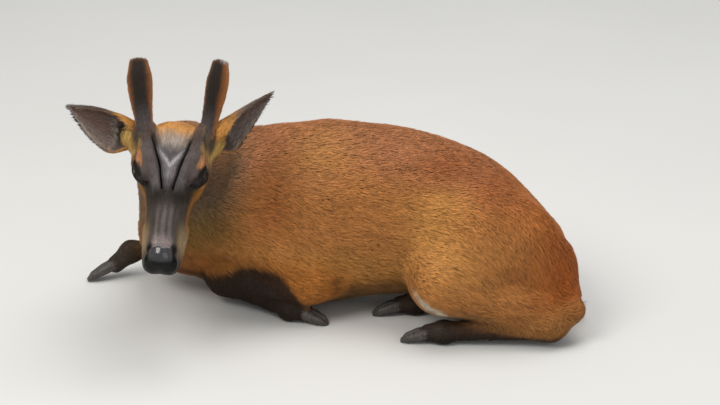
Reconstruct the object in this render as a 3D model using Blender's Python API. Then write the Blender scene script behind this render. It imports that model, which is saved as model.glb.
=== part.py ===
"""A life-size still model of a red muntjac buck at rest: he lies on his brisket with his head turned to his left.

Metres, +Z up. The body lies along X with the chest at -X, and the animal's left side is at -Y.
The flesh is one smooth field of round masses. It is turned into a closed surface and parted into named pieces.
"""

import math

import bmesh
import bpy
import numpy as np
from mathutils import Matrix, Vector

# The gap between pieces that meet face to face
GAP = 0.0003

# Grid cells of the surfaces
BODY_CELL = 0.006
HEAD_CELL = 0.0024
PARTING_CELL = 0.009

# Where to look for the flesh of the body
BODY_BOX = ((-0.47, -0.27, -0.02), (0.36, 0.19, 0.35))

# Triangles that each flesh surface is thinned to, before it is parted
BODY_TRIANGLES = 3800
HEAD_TRIANGLES = 3700

# Width of one half of a hoof
HOOF_WIDTH = 0.0125

# The material slot of each piece, by the start of its name
SLOTS = (
    ("eye", "eye"),
    ("nose", "nose"),
    ("hoof", "horn"),
    ("pedicle", "velvet"),
    ("ear", "ear_coat"),
    ("head", "face_coat"),
    ("forefoot", "leg_coat"),
    ("hindfoot", "leg_coat"),
)

# The looks of the plain materials, by slot: colour and roughness
LOOKS = {
    "coat": ((0.40, 0.17, 0.06), 0.85),
    "face_coat": ((0.16, 0.11, 0.08), 0.85),
    "leg_coat": ((0.10, 0.06, 0.045), 0.85),
    "ear_coat": ((0.25, 0.15, 0.10), 0.85),
    "velvet": ((0.14, 0.06, 0.03), 0.9),
    "eye": ((0.01, 0.006, 0.004), 0.08),
    "nose": ((0.02, 0.02, 0.022), 0.35),
    "horn": ((0.06, 0.05, 0.045), 0.45),
}

# The trunk: place along X, back height, belly height, half width
TRUNK = (
    (-0.315, 0.150, 0.080, 0.034),
    (-0.280, 0.186, 0.046, 0.055),
    (-0.235, 0.218, 0.018, 0.070),
    (-0.190, 0.238, 0.002, 0.078),
    (-0.145, 0.250, -0.004, 0.086),
    (-0.080, 0.263, -0.004, 0.096),
    (-0.020, 0.269, 0.012, 0.104),
    (0.050, 0.262, 0.024, 0.108),
    (0.110, 0.246, 0.026, 0.102),
    (0.160, 0.225, 0.022, 0.088),
    (0.205, 0.187, 0.032, 0.070),
    (0.235, 0.148, 0.050, 0.050),
)
TRUNK_END_ROUNDING = 0.05

# Joints of the skeleton, by side. The left foreleg is folded, the right one reaches forward.
LEFT_FORE = dict(
    blade=(-0.125, -0.036, 0.214),
    shoulder=(-0.196, -0.078, 0.148),
    elbow=(-0.085, -0.082, 0.062),
    point=(-0.060, -0.080, 0.058),
    wrist=(-0.216, -0.048, 0.036),
    knuckle=(-0.112, -0.088, 0.0145),
    hoof=(-0.093, -0.092, 0.0140),
    toe=(-0.055, -0.098, 0.0055),
)
RIGHT_FORE = dict(
    blade=(-0.140, 0.036, 0.208),
    shoulder=(-0.225, 0.072, 0.148),
    elbow=(-0.170, 0.068, 0.062),
    point=(-0.146, 0.070, 0.062),
    wrist=(-0.288, 0.050, 0.052),
    knuckle=(-0.377, 0.026, 0.038),
    hoof=(-0.398, 0.014, 0.021),
    toe=(-0.437, -0.008, 0.0055),
)
LEFT_HIND = dict(
    hip=(0.178, -0.048, 0.134),
    knee=(0.109, -0.113, 0.085),
    hock=(0.262, -0.106, 0.030),
    heel=(0.292, -0.092, 0.048),
    buttock=(0.248, -0.050, 0.090),
    knuckle=(0.114, -0.126, 0.0150),
    hoof=(0.094, -0.129, 0.0145),
    toe=(0.054, -0.134, 0.0055),
)
RIGHT_HIND = dict(
    hip=(0.152, 0.040, 0.092),
    knee=(0.060, 0.100, 0.060),
    hock=(0.218, 0.034, 0.028),
    heel=(0.250, 0.038, 0.044),
    buttock=(0.224, 0.040, 0.074),
    knuckle=(0.060, -0.036, 0.0150),
    hoof=(0.040, -0.042, 0.0145),
    toe=(0.000, -0.054, 0.0055),
)


# The head: its nose tip, how it is turned and tilted in degrees, and its sections going back from the nose
HEAD_TIP = (-0.244, -0.311, 0.165)
HEAD_TURN = 3.5
HEAD_PITCH = 45.0
HEAD_ROLL = 5.5
SKULL = (
    (0.003, -0.008, -0.034, 0.0180),
    (0.014, -0.002, -0.042, 0.0225),
    (0.034, 0.001, -0.047, 0.0250),
    (0.056, 0.003, -0.050, 0.0268),
    (0.082, 0.006, -0.054, 0.0285),
    (0.104, 0.009, -0.059, 0.0315),
    (0.126, 0.013, -0.064, 0.0370),
    (0.146, 0.017, -0.069, 0.0430),
    (0.166, 0.020, -0.071, 0.0455),
    (0.186, 0.020, -0.069, 0.0440),
    (0.206, 0.014, -0.061, 0.0395),
    (0.224, 0.003, -0.051, 0.0325),
)
EYE_PLACE = (0.140, 0.0380, -0.001)
EYE_RADIUS = 0.0142
LID_THICKNESS = 0.0028
EYE_OPENING = (0.0114, 0.0055)
EYE_LOOK = (-0.46, 0.80, 0.34)
FOREHEAD_SLIT = ((0.176, 0.0258, 0.0310), (0.145, 0.0140, 0.0180), (0.110, 0.0070, 0.0155))
MOUTH_LINE = ((0.002, 0.000, -0.0320), (0.014, 0.0205, -0.0325), (0.038, 0.0258, -0.0365), (0.066, 0.0296, -0.0410))

# The bare nose pad is what an egg round the tip of the muzzle takes in
NOSE_CENTRE = (0.004, 0.0, -0.006)
NOSE_RADII = (0.0300, 0.0275, 0.0215)

# The pedicles stand behind the brows: how far each bows outward, and the radii from root to top
LEFT_PEDICLE = dict(root=(0.186, 0.0425, 0.024), top=(0.283, 0.0530, 0.046))
RIGHT_PEDICLE = dict(root=(0.186, -0.0370, 0.024), top=(0.277, -0.0555, 0.044))
PEDICLE_BOW = 0.0030
PEDICLE_RADII = (0.0122, 0.0120, 0.0138, 0.0160, 0.0164, 0.0128)

# Each ear: where its leaf starts on the head, the way it points, the way its cup opens
EAR_LENGTH = 0.110
EAR_ROOT_RADIUS = 0.0165
EAR_PLACES = (0.0, 0.2, 0.45, 0.7, 0.9, 1.0)
EAR_HALF_WIDTHS = (0.0425, 0.0490, 0.0370, 0.0235, 0.0095, 0.0022)
EAR_WRAPS = (150.0, 100.0, 68.0, 52.0, 42.0)
LEFT_EAR = dict(base=(0.187, 0.047, 0.003), axis=(0.719, 0.504, 0.480), opening=(0.690, -0.570, -0.440))
RIGHT_EAR = dict(base=(0.187, -0.047, 0.003), axis=(-0.948, 0.157, 0.276), opening=(-0.140, -0.985, 0.100))

# The neck: its line from the chest to the head, and the throat below it
NECK_LINE = ((-0.190, 0.008, 0.157), (-0.245, -0.012, 0.185), (-0.265, -0.062, 0.221), (-0.264, -0.116, 0.246))
NECK_RADII = (0.066, 0.059, 0.048, 0.040)
THROAT_LINE = ((-0.293, -0.002, 0.092), (-0.268, -0.046, 0.144), (-0.265, -0.098, 0.210))
THROAT_RADII = (0.062, 0.060, 0.048)

# The plane where the neck leaves the trunk, from the withers to the brisket
NECK_BASE = (-0.245, -0.010, 0.170)
NECK_BASE_NORMAL = (-0.84, -0.28, 0.38)

# The tail hangs clamped down the rump
TAIL_LINE = ((0.218, 0.000, 0.154), (0.246, -0.004, 0.122), (0.269, -0.008, 0.080), (0.285, -0.012, 0.036))
TAIL_RADII = (0.022, 0.024, 0.026, 0.018)


def unit(v):
    v = np.asarray(v, float)
    return v / np.linalg.norm(v)


def smooth_min(a, b, k):
    """The lesser of two distances, blended where they differ by less than k."""
    h = np.clip(0.5 + 0.5 * (b - a) / k, 0.0, 1.0)
    return b + (a - b) * h - k * h * (1.0 - h)


def smooth_max(a, b, k):
    return -smooth_min(-a, -b, k)


def smooth_curve(x, xs, ys):
    """Reads a smooth curve through the stations (xs, ys) at x."""
    xs = np.asarray(xs, float)
    ys = np.asarray(ys, float)
    slope = np.gradient(ys, xs)
    x = np.clip(x, xs[0], xs[-1])
    i = np.clip(np.searchsorted(xs, x, side="right") - 1, 0, len(xs) - 2)
    span = xs[i + 1] - xs[i]
    t = (x - xs[i]) / span
    a = (1 + 2 * t) * (1 - t) ** 2 * ys[i] + t * (1 - t) ** 2 * span * slope[i]
    return a + t * t * (3 - 2 * t) * ys[i + 1] + t * t * (t - 1) * span * slope[i + 1]


def ball(p, centre, radius):
    return np.linalg.norm(p - np.asarray(centre, float), axis=1) - radius


def egg(p, centre, radii, axes=None):
    """Distance to an ellipsoid, close to true near its surface. The rows of axes are its own directions."""
    q = p - np.asarray(centre, float)
    if axes is not None:
        q = q @ np.asarray(axes, float).T
    r = np.asarray(radii, float)
    k0 = np.linalg.norm(q / r, axis=1)
    k1 = np.linalg.norm(q / (r * r), axis=1)
    return k0 * (k0 - 1.0) / np.maximum(k1, 1e-9)


def rod(p, a, b, ra, rb, flat=None, flatness=1.0):
    """Distance to a round cone from a to b. It is flatness times as thick along flat."""
    a = np.asarray(a, float)
    ab = np.asarray(b, float) - a
    pa = p - a
    t = np.clip(pa @ ab / (ab @ ab), 0.0, 1.0)
    q = pa - t[:, None] * ab
    if flat is not None:
        n = unit(flat)
        q = q + ((1.0 / flatness - 1.0) * (q @ n))[:, None] * n
    return np.linalg.norm(q, axis=1) - (ra + (rb - ra) * t)


def chain(p, points, radii, k=0.01):
    """Round cones in a row, blended where they meet."""
    d = None
    for a, b, ra, rb in zip(points, points[1:], radii, radii[1:]):
        e = rod(p, a, b, ra, rb)
        d = e if d is None else smooth_min(d, e, k)
    return d


def lofted(along, side, up, stations):
    """Distance to a body whose elliptical section follows the stations (place, top, bottom, half width)."""
    place, top, bottom, half = np.array(stations, float).T
    t = smooth_curve(along, place, top)
    b = smooth_curve(along, place, bottom)
    a = smooth_curve(along, place, half)
    c = 0.5 * (t - b)
    w = up - 0.5 * (t + b)
    k0 = np.sqrt((side / a) ** 2 + (w / c) ** 2)
    k1 = np.sqrt((side / a**2) ** 2 + (w / c**2) ** 2)
    return k0 * (k0 - 1.0) / np.maximum(k1, 1e-9)


def head_axes():
    """The head's own directions: back from the nose, out to the animal's left, and up through the forehead."""
    turn = math.radians(HEAD_TURN)
    pitch = math.radians(HEAD_PITCH)
    roll = math.radians(HEAD_ROLL)
    forward = np.array([math.sin(turn) * math.cos(pitch), -math.cos(turn) * math.cos(pitch), -math.sin(pitch)])
    left = np.array([math.cos(turn), math.sin(turn), 0.0])
    up = np.cross(forward, left)
    tilted = left * math.cos(roll) - up * math.sin(roll)
    return np.array([-forward, tilted, up * math.cos(roll) + left * math.sin(roll)])


AXES = head_axes()
TIP = np.array(HEAD_TIP)


def in_head(p):
    """World points in the head's own directions, from the nose tip."""
    return (p - TIP) @ AXES.T


def from_head(back, side, up):
    """A place of the head as a world point."""
    return TIP + np.array([back, side, up]) @ AXES


# The masses of flesh


def trunk_field(p):
    d = lofted(p[:, 0], p[:, 1], p[:, 2], TRUNK)
    d = smooth_max(d, TRUNK[0][0] - p[:, 0], TRUNK_END_ROUNDING)
    d = smooth_max(d, p[:, 0] - TRUNK[-1][0], TRUNK_END_ROUNDING)
    withers = rod(p, (-0.170, 0.004, 0.200), (-0.080, 0.004, 0.212), 0.036, 0.042)
    return smooth_min(d, withers, 0.05)


def neck_field(p):
    d = chain(p, NECK_LINE, NECK_RADII, 0.03)
    throat = chain(p, THROAT_LINE, THROAT_RADII, 0.03)
    return smooth_min(d, throat, 0.07)


def fore_leg_field(p, leg, side):
    blade = rod(p, leg["blade"], leg["shoulder"], 0.030, 0.038, (0, 1, 0), 0.8)
    triceps = egg(p, 0.5 * np.add(leg["blade"], leg["elbow"]) + (0.008, side * 0.012, -0.006), (0.062, 0.036, 0.075))
    arm = rod(p, leg["shoulder"], leg["elbow"], 0.040, 0.030)
    forearm = chain(p, (leg["point"], leg["elbow"], leg["wrist"]), (0.018, 0.032, 0.0185), 0.012)
    muscle = np.asarray(leg["elbow"]) * 0.68 + np.asarray(leg["wrist"]) * 0.32
    forearm = smooth_min(forearm, egg(p, muscle, (0.042, 0.026, 0.030)), 0.02)
    knob = ball(p, leg["wrist"], 0.0205)
    d = smooth_min(blade, triceps, 0.04)
    d = smooth_min(d, arm, 0.03)
    d = smooth_min(d, forearm, 0.02)
    return smooth_min(d, knob, 0.012)


def fore_foot_field(p, leg):
    d = chain(p, (leg["wrist"], leg["knuckle"]), (0.0170, 0.0125), 0.01)
    d = smooth_min(d, ball(p, leg["knuckle"], 0.0155), 0.010)
    return smooth_min(d, rod(p, leg["knuckle"], leg["hoof"], 0.0145, 0.0130), 0.008)


def hind_leg_field(p, leg, side):
    haunch = egg(p, np.asarray(leg["hip"]) + (0.004, side * 0.020, -0.010), (0.086, 0.050, 0.080))
    buttock = ball(p, leg["buttock"], 0.036)
    thigh = rod(p, leg["hip"], leg["knee"], 0.062, 0.038)
    shank = chain(p, (leg["knee"], leg["hock"]), (0.040, 0.021), 0.02)
    ham = rod(p, leg["buttock"], leg["heel"], 0.034, 0.015)
    d = smooth_min(haunch, buttock, 0.06)
    d = smooth_min(d, ham, 0.03)
    d = smooth_min(d, thigh, 0.04)
    d = smooth_min(d, shank, 0.03)
    calf = 0.5 * np.add(leg["hock"], leg["knee"]) + (0.02, 0, 0.01)
    tendon = rod(p, calf + 0.5 * (leg["heel"] - calf), calf, 0.012, 0.018)
    return smooth_min(d, tendon, 0.025)


def hind_foot_field(p, leg):
    d = chain(p, (leg["heel"], leg["hock"], leg["knuckle"]), (0.0130, 0.0200, 0.0135), 0.012)
    d = smooth_min(d, ball(p, leg["knuckle"], 0.0160), 0.010)
    return smooth_min(d, rod(p, leg["knuckle"], leg["hoof"], 0.0150, 0.0130), 0.008)


def tail_field(p):
    points = np.asarray(TAIL_LINE)
    d = None
    for a, b, ra, rb in zip(points, points[1:], TAIL_RADII, TAIL_RADII[1:]):
        e = rod(p, a, b, ra, rb, (1.0, 0.0, 0.45), 0.55)
        d = e if d is None else smooth_min(d, e, 0.012)
    return d


def head_field(p):
    q = in_head(p)
    s = q[:, 0]
    u = np.abs(q[:, 1])
    w = q[:, 2]
    m = np.stack([s, u, w], axis=1)
    d = lofted(s, u, w, SKULL)
    d = smooth_max(d, SKULL[0][0] - s, 0.012)
    d = smooth_max(d, s - SKULL[-1][0], 0.03)
    # Cheeks and jaw
    d = smooth_min(d, egg(m, (0.160, 0.030, -0.042), (0.038, 0.015, 0.030)), 0.018)
    d = smooth_min(d, rod(m, (0.036, 0.011, -0.040), (0.168, 0.026, -0.066), 0.009, 0.012), 0.014)
    # Lips and chin
    d = smooth_min(d, rod(m, (0.016, 0.012, -0.026), (0.068, 0.021, -0.036), 0.0115, 0.0100), 0.010)
    d = smooth_min(d, egg(m, (0.026, 0.0, -0.042), (0.016, 0.013, 0.009)), 0.008)
    # Eye sockets, brows and the ridges that run down from the pedicles
    d = smooth_min(d, ball(m, EYE_PLACE, EYE_RADIUS + LID_THICKNESS), 0.012)
    d = smooth_min(d, rod(m, (0.182, 0.034, 0.018), (0.148, 0.031, 0.017), 0.012, 0.008), 0.014)
    d = smooth_min(d, rod(m, (0.148, 0.028, 0.018), (0.104, 0.011, 0.009), 0.0075, 0.0050), 0.012)
    d = smooth_min(d, rod(m, (0.164, 0.045, 0.010), (0.128, 0.038, 0.008), 0.0070, 0.0060), 0.012)
    # The bridge of the nose
    d = smooth_min(d, rod(m, (0.116, 0.0, 0.002), (0.024, 0.0, -0.009), 0.0120, 0.0110), 0.012)
    # The crown, level from pedicle to pedicle, and the base of each pedicle and of each ear
    d = smooth_min(d, rod(m, (0.190, 0.0, 0.010), (0.186, 0.034, 0.015), 0.0130, 0.0110), 0.012)
    for ear, side in ((LEFT_EAR, 1), (RIGHT_EAR, -1)):
        d = smooth_min(d, rod(q, (0.166, side * 0.032, 0.010), along_pedicle(0.10, side), 0.0130, 0.0125), 0.016)
        root = from_head(0.176, side * 0.030, -0.012)
        end = from_head(*ear["base"]) + unit(ear["axis"]) * 0.010
        d = smooth_min(d, rod(p, root, end, 0.022, EAR_ROOT_RADIUS), 0.014)
    # Hollows: gland slits on the forehead, the gland before each eye, the mouth line
    d = smooth_max(d, -chain(m, FOREHEAD_SLIT, (0.0036, 0.0032, 0.0022), 0.003), 0.003)
    d = smooth_max(d, -rod(m, (0.121, 0.033, 0.001), (0.104, 0.029, -0.006), 0.0040, 0.0030), 0.005)
    for a, b in zip(MOUTH_LINE, MOUTH_LINE[1:]):
        d = smooth_max(d, -rod(m, a, b, 0.0024, 0.0022), 0.0015)
    return d


def along_pedicle(t, side):
    """A place on the axis of a pedicle, t of the way from its root to its top."""
    stem = LEFT_PEDICLE if side > 0 else RIGHT_PEDICLE
    a = np.array(stem["root"])
    b = np.array(stem["top"])
    middle = 0.5 * (a + b) + (0.0, side * PEDICLE_BOW, -0.002)
    return a * (1 - t) ** 2 + middle * 2 * t * (1 - t) + b * t * t


# The parts of the flesh by name, and the whole of it


def flesh_fields(p):
    return {
        "torso": trunk_field(p),
        "neck": neck_field(p),
        "head": head_field(p),
        "tail": tail_field(p),
        "foreleg_left": fore_leg_field(p, LEFT_FORE, -1),
        "foreleg_right": fore_leg_field(p, RIGHT_FORE, 1),
        "forefoot_left": fore_foot_field(p, LEFT_FORE),
        "forefoot_right": fore_foot_field(p, RIGHT_FORE),
        "hindleg_left": hind_leg_field(p, LEFT_HIND, -1),
        "hindleg_right": hind_leg_field(p, RIGHT_HIND, 1),
        "hindfoot_left": hind_foot_field(p, LEFT_HIND),
        "hindfoot_right": hind_foot_field(p, RIGHT_HIND),
    }


def blended(fields):
    """All the flesh as one: each leg melts into the trunk, and the feet only touch."""
    d = smooth_min(fields["torso"], fields["neck"], 0.05)
    for side in ("left", "right"):
        d = smooth_min(d, fields["hindleg_" + side], 0.045)
        d = smooth_min(d, fields["foreleg_" + side], 0.035)
    d = smooth_min(d, fields["tail"], 0.012)
    d = smooth_min(d, fields["head"], 0.020)
    for side in ("left", "right"):
        d = smooth_min(d, fields["forefoot_" + side], 0.012)
        d = smooth_min(d, fields["hindfoot_" + side], 0.014)
    return d


# Closed surfaces from fields


def sample_near_surface(field, low, shape, cell):
    """Samples a field on a grid. It is worked out in full only in the blocks that the surface can pass through."""
    step = 6
    blocks = tuple(-(-n // step) for n in shape)
    index = np.stack(np.meshgrid(*[np.arange(n) for n in blocks], indexing="ij"), -1).reshape(-1, 3)
    middle = np.asarray(low) + (index + 0.5) * step * cell
    rough = field(middle)
    near = np.abs(rough) < step * cell * 1.25
    values = np.repeat(np.repeat(np.repeat(rough.reshape(blocks), step, 0), step, 1), step, 2)
    inside = np.stack(np.meshgrid(*[np.arange(step)] * 3, indexing="ij"), -1).reshape(-1, 3)
    chosen = (index[near][:, None, :] * step + inside[None]).reshape(-1, 3)
    for part in np.array_split(chosen, max(1, len(chosen) // 200000)):
        found = field(np.asarray(low) + part * cell)
        values[part[:, 0], part[:, 1], part[:, 2]] = found
    return values


def fill_doubtful_cells(values):
    """Fills the cells where two sheets of the surface would touch at an edge or a corner."""
    tiny = -1e-5
    for _ in range(30):
        solid = values < 0
        changed = False
        for axis in range(3):
            s = np.moveaxis(solid, axis, 0)
            v = np.moveaxis(values, axis, 0)
            a, b, c, d = s[:, :-1, :-1], s[:, 1:, 1:], s[:, 1:, :-1], s[:, :-1, 1:]
            crossed = ((a & b) & ~(c | d)) | ((c & d) & ~(a | b))
            at = np.argwhere(crossed)
            for j, k in ((0, 0), (1, 1), (1, 0), (0, 1)):
                spot = (at[:, 0], at[:, 1] + j, at[:, 2] + k)
                v[spot] = np.minimum(v[spot], tiny)
            changed = changed or len(at) > 0
        solid = values < 0
        corners = [
            solid[i : i - 1 or None, j : j - 1 or None, k : k - 1 or None]
            for i, j, k in ((0, 0, 0), (1, 1, 1), (1, 0, 0), (0, 1, 1), (0, 1, 0), (1, 0, 1), (0, 0, 1), (1, 1, 0))
        ]
        total = sum(c.astype(int) for c in corners)
        paired = np.zeros_like(corners[0])
        for one, other in zip(corners[::2], corners[1::2]):
            paired |= one & other & (total == 2)
            paired |= ~one & ~other & (total == 6)
        at = np.argwhere(paired)
        for i in (0, 1):
            for j in (0, 1):
                for k in (0, 1):
                    spot = (at[:, 0] + i, at[:, 1] + j, at[:, 2] + k)
                    values[spot] = np.minimum(values[spot], tiny)
        if not changed and len(at) == 0:
            return values
    return values


def surface(name, field, low, high, cell, triangles):
    """A closed mesh where the field is zero, thinned to about so many triangles."""
    shape = tuple(int(math.ceil((h - l) / cell)) + 2 for l, h in zip(low, high))
    step = 6
    shape = tuple(-(-n // step) * step for n in shape)
    values = sample_near_surface(field, low, shape, cell)
    for axis in range(3):
        edge = np.moveaxis(values, axis, 0)
        edge[0] = np.maximum(edge[0], 1e-4)
        edge[-1] = np.maximum(edge[-1], 1e-4)
    values[np.abs(values) < 1e-7] = 1e-7
    values = fill_doubtful_cells(values)
    solid = values < 0
    cells = tuple(n - 1 for n in shape)
    place = np.zeros(cells + (3,))
    count = np.zeros(cells)
    crossings = []
    for axis in range(3):
        v = np.moveaxis(values, axis, 0)
        s = np.moveaxis(solid, axis, 0)
        crossing = s[:-1] != s[1:]
        at = np.argwhere(crossing)
        one = v[:-1][crossing]
        other = v[1:][crossing]
        share = one / (one - other)
        others = [k for k in range(3) if k != axis]
        spot = np.zeros((len(at), 3), int)
        spot[:, axis] = at[:, 0]
        spot[:, others[0]] = at[:, 1]
        spot[:, others[1]] = at[:, 2]
        point = spot.astype(float)
        point[:, axis] += share
        crossings.append((axis, spot, s[:-1][crossing], others))
        for j in (0, 1):
            for k in (0, 1):
                c = spot.copy()
                c[:, others[0]] -= j
                c[:, others[1]] -= k
                np.add.at(place, (c[:, 0], c[:, 1], c[:, 2]), point)
                np.add.at(count, (c[:, 0], c[:, 1], c[:, 2]), 1)
    used = count > 0
    number = np.full(cells, -1)
    number[used] = np.arange(int(used.sum()))
    points = np.asarray(low) + place[used] / count[used][:, None] * cell
    quads = []
    for axis, spot, starts_solid, others in crossings:
        ring = []
        for j, k in ((1, 1), (0, 1), (0, 0), (1, 0)):
            c = spot.copy()
            c[:, others[0]] -= j
            c[:, others[1]] -= k
            ring.append(number[c[:, 0], c[:, 1], c[:, 2]])
        quad = np.stack(ring, axis=1)
        turned = starts_solid if axis != 1 else ~starts_solid
        quads.append(np.where(turned[:, None], quad, quad[:, ::-1]))
    obj = new_object(name, points.tolist(), np.concatenate(quads).tolist())
    return thinned(keep_largest(obj), triangles)


# Work on meshes


def new_object(name, points, faces):
    mesh = bpy.data.meshes.new(name)
    mesh.from_pydata(points, [], faces)
    mesh.update()
    obj = bpy.data.objects.new(name, mesh)
    bpy.context.collection.objects.link(obj)
    return obj


def from_bmesh(name, bm):
    bmesh.ops.recalc_face_normals(bm, faces=bm.faces)
    mesh = bpy.data.meshes.new(name)
    bm.to_mesh(mesh)
    bm.free()
    obj = bpy.data.objects.new(name, mesh)
    bpy.context.collection.objects.link(obj)
    return obj


def applied(obj, modifier):
    """Applies a modifier and takes it off."""
    obj.select_set(True)
    bpy.context.view_layer.objects.active = obj
    bpy.ops.object.modifier_apply(modifier=modifier.name)
    obj.select_set(False)
    return obj


def removed(obj):
    mesh = obj.data
    bpy.data.objects.remove(obj, do_unlink=True)
    bpy.data.meshes.remove(mesh)


def keep_largest(obj):
    """Keeps only the largest closed surface of a mesh."""
    bm = bmesh.new()
    bm.from_mesh(obj.data)
    bm.faces.ensure_lookup_table()
    seen = set()
    shells = []
    for face in bm.faces:
        if face.index in seen:
            continue
        shell = []
        waiting = [face]
        seen.add(face.index)
        while waiting:
            f = waiting.pop()
            shell.append(f)
            for edge in f.edges:
                for g in edge.link_faces:
                    if g.index not in seen:
                        seen.add(g.index)
                        waiting.append(g)
        shells.append(shell)
    shells.sort(key=lambda shell: sum(f.calc_area() for f in shell))
    lesser = [f for shell in shells[:-1] for f in shell]
    bmesh.ops.delete(bm, geom=lesser, context="FACES")
    loose = [v for v in bm.verts if not v.link_faces]
    bmesh.ops.delete(bm, geom=loose, context="VERTS")
    bm.to_mesh(obj.data)
    bm.free()
    return obj


def thinned(obj, triangles):
    """Thins a mesh to about so many triangles, and keeps its shape."""
    total = sum(len(f.vertices) - 2 for f in obj.data.polygons)
    if total > triangles:
        modifier = obj.modifiers.new("thin", "DECIMATE")
        modifier.ratio = triangles / total
        modifier.use_collapse_triangulate = True
        applied(obj, modifier)
    return obj


def boolean(obj, cutter, operation, remove=True, solver="EXACT"):
    """Cuts, joins or intersects obj with cutter, and keeps the largest closed surface."""
    modifier = obj.modifiers.new("cut", "BOOLEAN")
    modifier.operation = operation
    modifier.solver = solver
    modifier.object = cutter
    applied(obj, modifier)
    if remove:
        removed(cutter)
    return keep_largest(obj)


def copied(obj, name):
    other = obj.copy()
    other.data = obj.data.copy()
    other.name = name
    bpy.context.collection.objects.link(other)
    return other


def grown(obj, name, distance):
    """A copy of a mesh with its faces moved out by the distance."""
    other = copied(obj, name)
    bm = bmesh.new()
    bm.from_mesh(other.data)
    bm.normal_update()
    moves = [v.normal * distance * min(v.calc_shell_factor(), 2.5) for v in bm.verts]
    for vertex, move in zip(bm.verts, moves):
        vertex.co += move
    bm.to_mesh(other.data)
    bm.free()
    return other


def box(name, centre, size, rotation=None):
    bm = bmesh.new()
    bmesh.ops.create_cube(bm, size=1.0)
    bmesh.ops.scale(bm, vec=size, verts=bm.verts)
    if rotation is not None:
        bmesh.ops.rotate(bm, cent=(0, 0, 0), matrix=rotation, verts=bm.verts)
    bmesh.ops.translate(bm, vec=centre, verts=bm.verts)
    return from_bmesh(name, bm)


def share_of(fields, name):
    """Less than zero where the flesh called name is nearer than any other."""
    others = [d for key, d in fields.items() if key != name]
    return 0.5 * (fields[name] - np.min(others, axis=0))


def region_of(name, points, margin, triangles):
    """The space around one piece of flesh, as a closed mesh. The points tell where to look for it."""

    def region(p):
        fields = flesh_fields(p)
        return np.maximum(share_of(fields, name), blended(fields) - 0.014)

    low = np.min(points, axis=0) - margin
    high = np.max(points, axis=0) + margin
    return surface(name + "_region", region, low, high, PARTING_CELL, triangles)


def parted(rest, name, points, margin, triangles):
    """Takes the piece called name off the rest, with a small gap."""
    region = region_of(name, points, margin, triangles)
    wider = grown(region, name + "_gap", GAP)
    piece = boolean(copied(rest, name), region, "INTERSECT", remove=False)
    boolean(rest, wider, "DIFFERENCE")
    boolean(rest, region, "DIFFERENCE")
    return piece


def floor_cutter():
    return box("floor", (0, 0, -0.25), (2, 2, 0.5))


def slab_beyond(name, point, normal, size, depth):
    """A box whose near face lies at the point, across the normal. It reaches depth beyond it."""
    normal = Vector(unit(normal))
    rotation = normal.to_track_quat("Z", "Y").to_matrix()
    return box(name, Vector(point) + normal * 0.5 * depth, (size, size, depth), rotation)


def ahead_of_plane(rest, name, point, normal):
    """Takes what lies beyond a plane off the rest, with a small gap."""
    piece = boolean(copied(rest, name), slab_beyond("ahead", point, normal, 1.0, 1.0), "INTERSECT")
    lower = Vector(point) - Vector(unit(normal)) * GAP
    boolean(rest, slab_beyond("behind", lower, normal, 1.0, 1.0), "DIFFERENCE")
    return piece


def shown_as(obj, slot):
    """Gives the object its own material, named for its slot."""
    colour, roughness = LOOKS[slot]
    material = bpy.data.materials.new(obj.name + "_" + slot)
    material.use_nodes = True
    shader = material.node_tree.nodes["Principled BSDF"]
    shader.inputs["Base Color"].default_value = colour + (1.0,)
    shader.inputs["Roughness"].default_value = roughness
    obj.data.materials.clear()
    obj.data.materials.append(material)
    return obj


def rings_closed(name, rings):
    """A closed mesh from rings of points: the first and the last ring are filled with a flat face."""
    bm = bmesh.new()
    rows = [[bm.verts.new(tuple(point)) for point in ring] for ring in rings]
    n = len(rows[0])
    for one, other in zip(rows, rows[1:]):
        for i in range(n):
            bm.faces.new((one[i], one[(i + 1) % n], other[(i + 1) % n], other[i]))
    bm.faces.new(rows[0])
    bm.faces.new(rows[-1])
    bmesh.ops.triangulate(bm, faces=bm.faces[-2:])
    return from_bmesh(name, bm)


def crossways(axis, towards):
    """Two unit directions across an axis, the second one nearest to towards."""
    axis = unit(axis)
    second = unit(np.asarray(towards) - axis * np.dot(axis, towards))
    return np.cross(second, axis), second


# Ears, eyes, pedicles and hooves


def ear_leaf(name, ear, side):
    """A cup like a rolled leaf: nearly a tube at its base, open further out, drawn to a tip on its upper edge."""
    axis = unit(ear["axis"])
    across, opening = crossways(axis, ear["opening"])
    upward = across * (1 if across[2] > 0 else -1)
    start = from_head(*ear["base"])
    rows = 11
    columns = 9
    rings = []
    for i in range(rows):
        t = i / (rows - 1)
        half_width = smooth_curve(t, EAR_PLACES, EAR_HALF_WIDTHS)
        wrap = math.radians(smooth_curve(t, (0.0, 0.25, 0.5, 0.75, 1.0), EAR_WRAPS))
        radius = half_width / wrap
        thick = smooth_curve(t, (0.0, 0.12, 0.3, 1.0), (0.0115, 0.0060, 0.0042, 0.0026))
        thick = min(thick, radius * 0.8)
        back = start + axis * EAR_LENGTH * t - opening * (EAR_ROOT_RADIUS - 0.010 * t * t)
        centre = back + opening * radius - upward * 0.006 * math.sin(math.pi * t)
        outer = []
        inner = []
        for j in range(columns):
            angle = wrap * (2 * j / (columns - 1) - 1)
            way = upward * math.sin(angle) - opening * math.cos(angle)
            outer.append(centre + way * radius)
            inner.append(centre + way * (radius - thick))
        rings.append(outer + inner[::-1])
    return rings_closed(name, rings)


def eye_ball(name, side):
    bm = bmesh.new()
    bmesh.ops.create_uvsphere(bm, u_segments=16, v_segments=10, radius=EYE_RADIUS)
    bmesh.ops.translate(bm, vec=from_head(EYE_PLACE[0], side * EYE_PLACE[1], EYE_PLACE[2]), verts=bm.verts)
    return from_bmesh(name, bm)


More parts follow.
